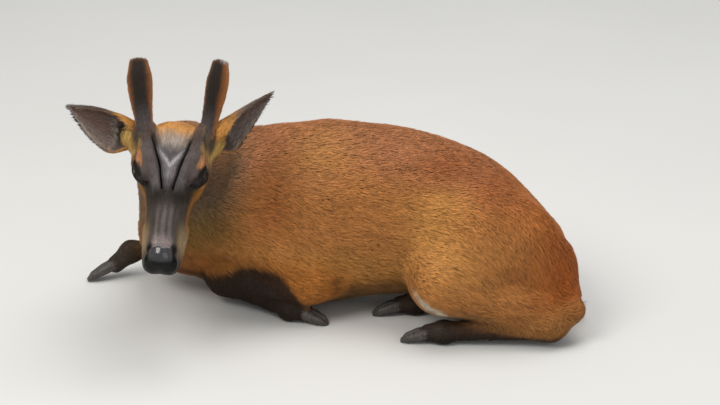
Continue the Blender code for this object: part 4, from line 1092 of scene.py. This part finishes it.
def coat(name, skin, material, chosen=slice(None), settle=True, ragged=0.06, mottle=1.0):
    """Flat tufts with a point at each end, rooted in the skin and laid along it."""
    used, quads = np.unique(skin["quads"][chosen], return_inverse=True)
    quads = quads.reshape(-1, 4)
    uv = unwrapped(skin["points"][used], quads)
    at, share = scatter(skin["points"][used], quads, skin["spacing"][used] * COARSER)
    n = len(at)

    def read(key):
        return np.einsum("nk,nk...->n...", share, skin[key][used][quads[at]])

    root = read("points")
    normal = units(read("normals"))
    tint = read("tint")
    # The way that the tuft lies, how long and wide it is, and how high it stands
    length = read("length") * (0.75 + 0.5 * rng.random(n))
    way = read("lie")
    way = units(way - normal * np.sum(way * normal, axis=1)[:, None])
    turn = 0.14 * speckle(root, 0.022, 1) + 0.14 * speckle(root, 0.007, 2)
    turn += ragged * rng.standard_normal(n)
    way = units(way + np.cross(normal, way) * turn[:, None])
    side = np.cross(normal, way)
    width = TUFT_LEAST + TUFT_WIDTH * np.sqrt(length) * (0.85 + 0.4 * rng.random(n))
    width = width * read("fine")
    lift = read("depth") * (1.0 + 0.16 * speckle(root, 0.005, 6) + 0.12 * rng.standard_normal(n))
    bend = side * (length * 0.10 * rng.standard_normal(n))[:, None]
    middle = root + way * (length * 0.42)[:, None]
    tip = root + way * length[:, None] + bend
    if settle:
        middle = settled(middle, normal, 0.62 * lift)
        tip = settled(tip, normal, 0.92 * lift)
    else:
        middle = middle + normal * (0.75 * lift)[:, None]
        tip = tip + normal * lift[:, None]
    along = units(tip - middle)
    side = units(np.cross(normal, along))
    half = side * (0.5 * width)[:, None]
    thick = np.cross(along, side) * (TUFT_THICKNESS * width)[:, None]
    corner = (root - normal * ROOT_DEPTH, middle - half, middle + half, middle + thick, tip)
    # Grizzled: a dark foot, a lighter band near the tip, and no two tufts alike
    across = root - way * np.sum(root * way, axis=1)[:, None] * 0.8
    grizzle = 0.30 * speckle(across, 0.0038, 8) + 0.14 * speckle(across, 0.0085, 9)
    light = 1.0 + 0.12 * rng.standard_normal(n) + mottle * grizzle
    if skin["slot"] == "coat":
        # Fine wavy ticking that runs level along the body
        level = root[:, 2] - np.abs(root[:, 1])
        wave = 2.6 * speckle(root, 0.021, 10) + 1.3 * speckle(root, 0.007, 11)
        light += 0.17 * np.sin(level * 2 * math.pi / TICKING + wave)
    light = np.clip(light, *LIGHT_RANGE)[:, None]
    shade = np.stack([tint * ROOT_SHADE, *(tint * k * light for k in TUFT_SHADES)], axis=1)
    faces = (TUFT[None] + 5 * np.arange(n)[:, None, None]).reshape(-1, 3)
    points = np.stack(corner, axis=1).reshape(-1, 3)
    obj = new_mesh(name, points, faces, material, shade.reshape(-1, 3))
    place = np.einsum("nk,nkj->nj", share, uv[at])
    flat = (place[:, None] + TUFT_UNWRAP[None]).reshape(-1, 2)
    layer = obj.data.uv_layers.new(name="OFBake")
    layer.data.foreach_set("uv", flat[faces.ravel()].astype(np.float32).ravel())
    soft = [normal + lean for lean in (0, -0.55 * side, 0.55 * side, 0.15 * along, 0.35 * along)]
    soft = units(np.stack(soft, axis=1).reshape(-1, 3))
    obj.data.normals_split_custom_set_from_vertices(soft.tolist())
    dressed(obj, skin["slot"])


# The skin and what grows from it


def flesh_skins():
    """The body's and the head's skin, each with what the coat needs to know at each point."""
    head_box = HEAD_CORNERS.min(axis=0), HEAD_CORNERS.max(axis=0)
    made = []
    for slot, box, cell, sign in (("coat", BODY_BOX, BODY_CELL, -1), ("face_coat", head_box, HEAD_CELL, 1)):

        def part(p):
            fields = flesh_fields(p)
            return np.maximum(skin_field(p, fields), sign * beside_head(fields) - SKIN_OVERLAP)

        points, quads, normals = surface(part, *box, cell * COARSER)
        points[:, 2] = np.maximum(points[:, 2], FLOOR_GAP)
        fields = flesh_fields(points)
        made.append(dict(
            points=points,
            quads=quads,
            normals=normals,
            slot=slot,
            weights=part_weights(fields),
            on_head=beside_head(fields),
            cut=np.abs(skin_field(points, fields)) >= CUT_LIMIT,
        ))
    return made


def mid_hair(points, lie, length):
    """The middle of the hair that is rooted at each point."""
    return points + units(lie) * (0.5 * length)[:, None]


def body_sizes(skin):
    p = skin["points"]
    z = p[:, 2]
    weights = skin["weights"]
    length = by_part(weights, HAIR_LENGTH)
    for side, leg in FORE.items():
        near = fall(gap(p, leg["wrist"]), 0.05, 0.12) * weights["foreleg_" + side]
        length = length * (1 - near) + 0.0078 * near
    # Bare where it meets the floor or the head, and at the hooves
    bare = (skin["normals"][:, 2] < -0.80) & (z < 0.010) | skin["cut"]
    for leg in (*FORE.values(), *HIND.values()):
        bare |= gap(p, leg["hoof"]) < 0.010
    lie = lie_of(p, weights)
    skin.update(
        length=length,
        fine=np.ones(len(p)),
        spacing=np.where(bare, 0.0, 0.00062 + length * 0.077),
        depth=coat_depth(p, weights) * np.clip(rise(z, -0.004, 0.010), 0.35, 1.0),
        lie=lie,
        tint=body_colour(mid_hair(p, lie, length), skin["normals"], weights),
    )


def head_sizes(skin):
    p = skin["points"]
    m = mirrored(in_head(p))
    s, u, w = m.T
    length = 0.0034 + 0.0030 * rise(s, 0.04, 0.12) + 0.0040 * rise(s, 0.16, 0.20)
    length += 0.0050 * rise(-w, 0.022, 0.055) * rise(s, 0.06, 0.12)
    temple = rise(u, 0.040, 0.047) * rise(s, 0.146, 0.160) * fall(s, 0.190, 0.200) * rise(w, -0.020, -0.006)
    length += 0.0090 * temple
    length -= 0.0022 * fall(beside_slit(m), 0.004, 0.008)
    # Bare inside the lids, the slits, the glands, the nostrils and the lips, and on the nose
    _, _, z, lid = at_eye(m)
    bare = (lid < 0.0016) & (z > 0) | (beside_slit(m) < 0.0017) | (nose_field(m) < 0.0012) | skin["cut"]
    for line, reach in ((GLAND, 0.0022), (NOSTRIL, 0.0034), (MOUTH_LINE, 0.0022)):
        bare |= to_line(m, line) < reach
    lie = toward(lie_of(p, skin["weights"]), (0.0, -0.35, -1.0), temple)
    middle = mid_hair(p, lie, length)
    body = body_colour(middle, skin["normals"], skin["weights"])
    skin.update(
        length=length,
        fine=1 - 0.42 * temple,
        spacing=np.where(bare, 0.0, (0.00066 + length * 0.064) * (1 - 0.40 * temple)),
        depth=coat_depth(p, skin["weights"]) * (1 + 0.5 * temple),
        lie=lie,
        tint=toward(body, face_colour(middle), fall(skin["on_head"], -0.010, 0.012)),
    )


def ear_sheet(ear, rows, columns):
    """A cup like a rolled leaf, as a thin closed sheet: its points, their share along and round it,
    whether they are inside it, its faces and its directions."""
    axis = unit(ear["axis"])
    opening = unit(np.asarray(ear["opening"]) - axis * np.dot(axis, ear["opening"]))
    across = np.cross(opening, axis)
    upward = across * (1 if across[2] > 0 else -1)
    start = from_head(*ear["base"])
    outside = [(2 * j / (columns - 1) - 1, 1.0) for j in range(columns)]
    turns = outside + [(share, -1.0) for share, _ in outside[::-1]]
    points, notes = [], []
    for i in range(rows):
        t = i / (rows - 1)
        wrap = math.radians(smooth_curve(t, *EAR_WRAPS))
        radius = smooth_curve(t, *EAR_WIDTHS) / wrap
        thick = min(smooth_curve(t, *EAR_THICKNESS), radius * 0.7)
        back = start + axis * EAR_LENGTH * t - opening * (EAR_ROOT_RADIUS - 0.010 * t * t)
        centre = back + opening * radius - upward * 0.006 * math.sin(math.pi * t)
        for share, layer in turns:
            way = upward * math.sin(wrap * share) - opening * math.cos(wrap * share)
            points.append(centre + way * (radius - (EAR_INSET if layer > 0 else EAR_INSET + thick)))
            notes.append((t, share, layer))
    points = np.array(points)
    along, around, layer = np.array(notes).T
    quads = turned_out(points, strip(rows - 1, len(turns)), layer[:, None] * (points - points.mean(axis=0)))
    return points, along, around, layer < 0, quads, axis, upward


def ear_skin(ear):
    points, along, around, inner, quads, axis, upward = ear_sheet(ear, *EAR_GRID)
    edge = np.abs(around)
    outside = Paint(points, "ear_root")
    outside("crown", 0.9 * fall(along, 0.12, 0.42))
    outside("ear_tip", rise(along, 0.36, 0.60))
    outside("ear_rim", 0.7 * rise(edge, 0.72, 0.95) * rise(along, 0.25, 0.5))
    # The cup: mauve-grey, red-brown along its upper edge, with painted shade in the hollow low near its root
    inside = Paint(points, "cup")
    inside("cup_red", 0.75 * rise(around, 0.35, 0.75) * rise(along, 0.15, 0.35))
    inside("cup_grey", 0.7 * rise(-around, 0.25, 0.6) * rise(along, 0.15, 0.3))
    inside("cup_deep", 1.5 * bell(along - 0.20, 0.13) * bell(around + 0.05, 0.45))
    inside("cup_root", fall(along, 0.05, 0.12))
    inside("cup_fold", 0.6 * bell(along - 0.36 - 0.10 * around, 0.022) * fall(around, 0.25, 0.55))
    pale = bell(edge - 0.92, 0.09) * (0.55 + 0.45 * speckle(points, 0.005, 14))
    inside("cup_hair", 0.85 * pale * rise(along, 0.2, 0.4))
    spacing = np.where(inner, 0.0022 + 0.0022 * fall(edge, 0.45, 0.75), 0.00145)
    spacing[along < np.where(inner, 0.18, 0.04)] = 0.0
    return dict(
        points=points,
        quads=quads,
        normals=normals_of(points, quads),
        tint=np.where(inner[:, None], inside.colour, outside.colour),
        length=np.where(inner, 0.0095, 0.0068),
        spacing=spacing,
        depth=np.where(inner, 0.0012, 0.0011),
        fine=np.ones(len(points)),
        lie=axis + upward * (around * np.where(inner, -0.9, 0.25))[:, None],
        slot="ear_coat",
    )


def stem_skin(side):
    """A pedicle: a furry stem, black down its front and orange-brown at its sides, with a blunt top."""
    count, steps, cap = 26, 34, 5
    left = side == "left"
    front = unit(AXES.T @ np.array((-0.40, -0.32 if left else 0.04, 0.90)))
    angle = 2 * math.pi * np.arange(count) / count
    points, along, facing = [], [], []
    for i in range(steps + cap):
        t = -0.05 + 1.05 * min(i, steps - 1) / (steps - 1)
        before, after = (from_head(*along_pedicle(t + step, side)) for step in (-0.01, 0.01))
        way = unit(after - before)
        first = unit(np.cross(AXES[1], way))
        out = np.cos(angle)[:, None] * first + np.sin(angle)[:, None] * np.cross(way, first)
        beyond = max(0, i - steps + 1) / cap
        middle = 0.5 * (before + after) + way * 0.0045 * math.sin(0.5 * math.pi * beyond)
        radius = smooth_curve(t, np.linspace(0, 1, len(PEDICLE_RADII)), PEDICLE_RADII) - 0.0020
        radius *= math.cos(0.5 * math.pi * beyond * 0.98)
        if left:
            radius *= SLIMMER
            middle = middle + AXES[1] * SLIMMER_SHIFT
        points.append(middle + out * radius)
        along.append(np.full(count, t + 0.06 * beyond))
        facing.append(out @ front)
    points, along, facing = (np.concatenate(rows) for rows in (points, along, facing))
    centre = from_head(*along_pedicle(0.5, side))
    quads = turned_out(points, strip(steps + cap - 1, count), points - centre)
    root = fall(along, 0.10, 0.45)
    dark = Paint(points, "stem_front")
    dark("stem_front_root", root)
    paint = Paint(points, "stem")
    paint("stem_turn", 0.8 * rise(facing, 0.10, 0.60))
    paint(dark.colour, rise(facing + 0.25 * root + 0.05 * speckle(points, 0.004, 23), 0.60, 0.84))
    paint("stem_back", 0.5 * rise(-facing, 0.2, 0.9))
    paint("stem_top", 0.7 * rise(along, 0.965, 1.02))
    if left:
        bare = points[along > 1.0].mean(axis=0) + 0.006 * AXES[1] + 0.008 * AXES[2]
        paint("worn", 0.9 * fall(gap(points, bare), 0.0045, 0.0085))
    way = from_head(*along_pedicle(1.0, side)) - from_head(*along_pedicle(0.0, side))
    every = np.ones(len(points))
    return dict(
        points=points,
        quads=quads,
        normals=normals_of(points, quads),
        tint=paint.colour,
        length=0.0065 * every,
        spacing=0.00105 * every,
        depth=0.0026 * every,
        fine=every,
        lie=every[:, None] * way,
        slot="velvet",
    )


def joined(skins):
    """The points, faces and colours of all the skins as one surface."""
    starts = np.cumsum([0] + [len(skin["points"]) for skin in skins])
    quads = np.concatenate([skin["quads"] + start for skin, start in zip(skins, starts)])
    points, tint = (np.concatenate([skin[key] for skin in skins]) for key in ("points", "tint"))
    return points, quads, tint


def tube(centres, radii, count, flat, up):
    """Points and faces of a closed ring round a line of centres. It is flat times as thick along up."""
    ahead = units(np.roll(centres, -1, axis=0) - np.roll(centres, 1, axis=0))
    first = units(up - ahead * np.sum(up * ahead, axis=1)[:, None])
    angle = (2 * math.pi * np.arange(count) / count)[None, :, None]
    ring = first[:, None] * (np.cos(angle) * flat) + np.cross(ahead, first)[:, None] * np.sin(angle)
    points = (centres[:, None] + ring * radii[:, None, None]).reshape(-1, 3)
    return points, strip(len(centres), count, closed=True)


def eye_pieces(side, eye_material, lid_material):
    """A wet dark eye with a level oval pupil, and the bare rim of its lids."""
    number = HEAD_SIDE[side]
    centre = from_head(*np.array(EYE_PLACE) * (1, number, 1))
    look, along, across = [unit(AXES.T @ v) for v in eye_directions(number)]
    rings, count = 40, 56
    theta = np.repeat(math.pi * (0.0015 + 0.997 * np.arange(rings + 1) / rings), count)
    phi = np.tile(2 * math.pi * np.arange(count) / count, rings + 1)
    x, y, z = np.sin(theta) * np.cos(phi), np.sin(theta) * np.sin(phi), np.cos(theta)
    bulge = 1.0 + 0.055 * np.maximum(0.0, (z - 0.72) / 0.28) ** 1.5
    out = x[:, None] * along + y[:, None] * across + (z * bulge)[:, None] * look
    points = centre + EYE_RADIUS * 0.985 * out
    iris = np.hypot(x, y) / 0.62
    tint = tone("iris") * (1.0 + 0.35 * np.sin(phi * 23) * np.sin(phi * 7 + 1))[:, None]
    tint[iris >= 1.0] = tone("iris_edge")
    tint[(np.hypot(x / 0.40, y / 0.24) < 1.0) & (z > 0)] = tone("pupil")
    tint[(iris > 1.30) | (z < 0)] = tone("eye_white")
    quads = turned_out(points, strip(rings, count)[:, [0, 3, 2, 1]], points - centre)
    dressed(new_mesh("eyeball_" + side, points, quads, eye_material, tint), "eye", "eye_" + side)
    # The rim of the lids
    angle = 2 * math.pi * np.arange(64) / 64
    x, y = lid_curve(angle)
    x, y = x * 1.03, y * 1.06
    z = np.sqrt(np.maximum((EYE_RADIUS + 0.0002) ** 2 - x**2 - y**2, 0.0))
    centres = centre + x[:, None] * along + y[:, None] * across + z[:, None] * look
    radii = 0.0009 + 0.0004 * np.maximum(np.sin(angle), 0.0)
    points, quads = tube(centres, radii, 10, 0.85, units(centres - centre))
    quads = turned_out(points, quads, points - np.repeat(centres, 10, axis=0))
    rim = new_mesh("lid_rim_" + side, points, quads, lid_material, np.tile(tone("lid"), (len(points), 1)))
    dressed(rim, "nose")


# Materials


class Tree:
    """The nodes of one material, with its main shader."""

    def __init__(self, name, **sockets):
        self.material = bpy.data.materials.new(name)
        self.material.use_nodes = True
        self.nodes = self.material.node_tree.nodes
        self.shader = self.nodes["Principled BSDF"]
        self.set(self.shader, **sockets)

    def set(self, node, **sockets):
        for key, value in sockets.items():
            socket = node.inputs[key.replace("_", " ")]
            if isinstance(value, bpy.types.NodeSocket):
                self.material.node_tree.links.new(value, socket)
            else:
                socket.default_value = value

    def node(self, kind, settings=None, **sockets):
        node = self.nodes.new(kind)
        for key, value in (settings or {}).items():
            setattr(node, key, value)
        self.set(node, **sockets)
        return node

    def noise(self, scale, detail, stretch=(1.0, 1.0, 1.0)):
        where = self.node("ShaderNodeTexCoord").outputs["Object"]
        moved = self.node("ShaderNodeMapping", Vector=where, Scale=stretch).outputs["Vector"]
        made = self.node("ShaderNodeTexNoise", Vector=moved, Scale=scale, Detail=detail, Roughness=0.5)
        return made.outputs["Fac"]

    def ramp(self, fac, *stops):
        node = self.node("ShaderNodeValToRGB", Fac=fac)
        for end, (place, colour) in zip(node.color_ramp.elements, stops):
            end.position = place
            end.color = tuple(colour) + (1.0,)
        return node.outputs["Color"]

    def scaled(self, fac, low, high):
        sockets = {"Value": fac, "To_Min": low, "To_Max": high}
        return self.node("ShaderNodeMapRange", **sockets).outputs["Result"]

    def times(self, colour, grey):
        node = self.node("ShaderNodeMix", {"data_type": "RGBA", "blend_type": "MULTIPLY"}, Factor=1.0)
        self.material.node_tree.links.new(colour, node.inputs[6])
        self.material.node_tree.links.new(grey, node.inputs[7])
        return node.outputs[2]

    def tint(self):
        return self.node("ShaderNodeVertexColor", {"layer_name": "tint"}).outputs["Color"]

    def mottled(self, grain, low, high):
        """Takes the colour that the mesh holds, made darker and lighter by a grain."""
        self.set(self.shader, Base_Color=self.times(self.tint(), self.scaled(grain, low, high)))

    def bump(self, height, strength, distance):
        made = self.node("ShaderNodeBump", Height=height, Strength=strength, Distance=distance)
        self.set(self.shader, Normal=made.outputs["Normal"])


def look(name, noises, low, high, bump=(), **sockets):
    """A material that is mottled by its first noise and takes its bumps from its last."""
    tree = Tree(name, **sockets)
    grains = [tree.noise(*noise) for noise in noises]
    tree.mottled(grains[0], low, high)
    if bump:
        tree.bump(grains[-1], *bump)
    return tree.material


def hair_look(name, rough, sheen):
    sockets = dict(Roughness=rough, Sheen_Weight=sheen, Sheen_Roughness=0.5, Specular_IOR_Level=0.20)
    tints = dict(Sheen_Tint=(1.0, 0.86, 0.70, 1.0), Specular_Tint=(1.0, 0.88, 0.74, 1.0))
    return look(name, [(900.0, 2.0)], 0.78, 1.22, **sockets, **tints)


def skin_look():
    """Skin with its short undercoat: fine streaks over the same markings."""
    noises = [(260.0, 3.0, (0.35, 1.0, 1.6)), (900.0, 2.0)]
    sockets = dict(Roughness=0.85, Sheen_Weight=0.15, Specular_IOR_Level=0.25)
    return look("skin", noises, 0.62, 1.08, (0.35, 0.0006), **sockets)


def wet_look():
    """The bare nose: black, pebbled and wet, but dull where its colour is darkest."""
    tree = Tree("nose_leather", Specular_IOR_Level=0.15, Coat_Roughness=0.13, Coat_IOR=1.8)
    wet = tree.node("ShaderNodeSeparateColor", Color=tree.tint()).outputs["Green"]
    shine = tree.node("ShaderNodeMapRange", Value=wet, From_Min=0.004, From_Max=0.024, To_Min=0.0, To_Max=1.0)
    where = tree.node("ShaderNodeTexCoord").outputs["Object"]
    cells = tree.node("ShaderNodeTexVoronoi", {"feature": "SMOOTH_F1"}, Vector=where, Scale=760.0)
    blotch = tree.noise(160.0, 3.0)
    tree.mottled(blotch, 0.6, 1.4)
    tree.set(tree.shader, Coat_Weight=shine.outputs["Result"], Roughness=tree.scaled(blotch, 0.14, 0.36))
    tree.bump(cells.outputs["Distance"], 1.0, 0.0014)
    return tree.material


def eye_look():
    sockets = dict(Roughness=0.06, IOR=1.38, Specular_IOR_Level=0.6, Coat_Weight=0.6, Coat_Roughness=0.02)
    return look("eye_wet", [(500.0, 2.0)], 0.8, 1.15, **sockets)


def lid_look():
    sockets = dict(Roughness=0.42, Specular_IOR_Level=0.5)
    return look("lid_skin", [(700.0, 3.0)], 0.7, 1.3, (0.4, 0.0004), **sockets)


def horn_look():
    """Hoof: dark horn with growth rings across it and mud-grey wear."""
    tree = Tree("hoof_horn", Specular_IOR_Level=0.45)
    rings = tree.noise(420.0, 3.0, (1.6, 0.35, 0.5))
    wear = tree.noise(70.0, 4.0)
    colour = tree.ramp(rings, (0.30, tone("horn_dark")), (0.72, tone("horn_light")))
    tree.set(tree.shader, Base_Color=tree.times(colour, tree.scaled(wear, 0.65, 1.25)))
    tree.set(tree.shader, Roughness=tree.scaled(wear, 0.38, 0.68))
    tree.bump(rings, 0.5, 0.0006)
    return tree.material


# The floor, the light and the camera


def stage():
    bpy.ops.mesh.primitive_plane_add(size=60.0, location=(0.0, 0.0, 0.0))
    floor = bpy.context.object
    floor.name = "floor"
    tree = Tree("floor_paper", Roughness=0.9, Specular_IOR_Level=0.2)
    tree.set(tree.shader, Base_Color=tree.ramp(tree.noise(2.0, 2.0), *PAPER))
    floor.data.materials.append(tree.material)
    world = bpy.data.worlds.new("studio")
    bpy.context.scene.world = world
    world.use_nodes = True
    sky = world.node_tree.nodes["Background"].inputs
    sky["Color"].default_value = (0.98, 0.98, 0.98, 1.0)
    sky["Strength"].default_value = 0.55
    for name, place, size, power, colour in LAMPS:
        light = bpy.data.lights.new(name, "AREA")
        light.shape = "DISK"
        light.size = size
        light.energy = power
        light.color = colour
        lamp = bpy.data.objects.new(name, light)
        lamp.location = place
        lamp.rotation_euler = (Vector(LAMP_AIM) - Vector(place)).to_track_quat("-Z", "Y").to_euler()
        bpy.context.scene.collection.objects.link(lamp)
    bpy.context.scene.view_settings.view_transform = "Standard"


def camera():
    turn = math.radians(CAMERA_TURN)
    tilt = math.radians(CAMERA_RISE)
    back = Vector((math.sin(turn) * math.cos(tilt), -math.cos(turn) * math.cos(tilt), math.sin(tilt)))
    right = Vector((math.cos(turn), math.sin(turn), 0.0))
    data = bpy.data.cameras.new("camera")
    data.sensor_width = CAMERA_SENSOR
    data.lens = CAMERA_LENS
    obj = bpy.data.objects.new("camera", data)
    matrix = Matrix((right, back.cross(right), back)).transposed().to_4x4()
    matrix.translation = Vector(CAMERA_PLACE) + Vector(HOME)
    obj.matrix_world = matrix
    bpy.context.scene.collection.objects.link(obj)
    bpy.context.scene.camera = obj


# Making it all


def body_coat(body, material):
    """The coat of all but the head, in pieces."""
    quads = body["quads"]
    weights = body["weights"]
    names = list(weights)
    owner = np.argmax(np.stack(list(weights.values())), axis=0)[quads].max(axis=1)
    outside = body["on_head"][quads].mean(axis=1) >= 0
    x, y, _ = body["points"][quads].mean(axis=1).T

    def where(*parts):
        return np.isin(owner, [names.index(part) for part in parts]) & outside

    for side, beside in (("left", y < 0.0), ("right", y >= 0.0)):
        coat("coat_ribs_" + side, body, material, where("torso") & beside & (x < RIBS_END))
        coat("coat_flank_" + side, body, material, where("torso") & beside & (x >= RIBS_END))
    coat("coat_neck", body, material, where("neck", "head"))
    coat("coat_tail", body, material, where("tail"))
    for side in SIDES:
        coat("coat_foreleg_" + side, body, material, where("foreleg_" + side))
        coat("coat_hindleg_" + side, body, material, where("hindleg_" + side))
        coat("coat_feet_" + side, body, material, where("forefoot_" + side, "hindfoot_" + side))


def nose_piece():
    """The bare nose pad, with its leather painted darker as shade down its front and in the nostrils, where
    it is also dull.
    """

    def pad(p):
        return smooth_max(face_field(p) - 0.0003, nose_field(in_head(p)), 0.0018)

    corners = from_head_box(*NOSE_BOX)
    points, quads, _ = surface(pad, corners.min(axis=0), corners.max(axis=0), NOSE_CELL)
    m = mirrored(in_head(points))
    paint = Paint(points, "nose")
    # The front of the pad and the nostrils are painted darker, as shade
    front = fall(m[:, 0] + m[:, 2], 0.004, 0.016)
    paint("nose_front", np.maximum(front, fall(to_line(m, NOSTRIL), 0.0040, 0.0062)))
    dressed(new_mesh("nose_leather", points, quads, wet_look(), paint.colour), "nose", "nose_pad")


def main():
    global HOME
    low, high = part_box("eye_left")
    HOME = 0.5 * np.array(low + high) - from_head(*EYE_SOLID)
    camera()
    stage()
    coat_hair = hair_look("coat_hair", 0.60, 0.05)
    face_hair = hair_look("face_hair", 0.62, 0.05)
    velvet_hair = hair_look("velvet_hair", 0.8, 0.30)
    skin_material = skin_look()
    body, head = flesh_skins()
    body_sizes(body)
    head_sizes(head)
    ears = {side: ear_skin(ear) for side, ear in EARS.items()}
    stems = {side: stem_skin(side) for side in SIDES}
    points, quads, tint = joined([body, head, *ears.values(), *stems.values()])
    skin = new_mesh("skin", points, quads, skin_material, tint * UNDERCOAT)
    dressed(skin, "coat", *[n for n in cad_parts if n.split("_")[0] not in ("eye", "nose", "hoof")])
    body_coat(body, coat_hair)
    inside = head["on_head"][head["quads"]].mean(axis=1) < 0
    left = in_head(head["points"])[:, 1][head["quads"]].mean(axis=1) > 0
    coat("coat_face_left", head, face_hair, inside & left, ragged=0.05, mottle=0.7)
    coat("coat_face_right", head, face_hair, inside & ~left, ragged=0.05, mottle=0.7)
    for side in SIDES:
        coat("coat_ear_" + side, ears[side], face_hair, settle=False, ragged=0.2)
        coat("coat_pedicle_" + side, stems[side], velvet_hair, settle=False, ragged=0.25)
    eye_material, lid_material = eye_look(), lid_look()
    for side in SIDES:
        eye_pieces(side, eye_material, lid_material)
    nose_piece()
    horn = horn_look()
    for name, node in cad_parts.items():
        if name.startswith("hoof"):
            node.data.materials.clear()
            node.data.materials.append(horn)


main()
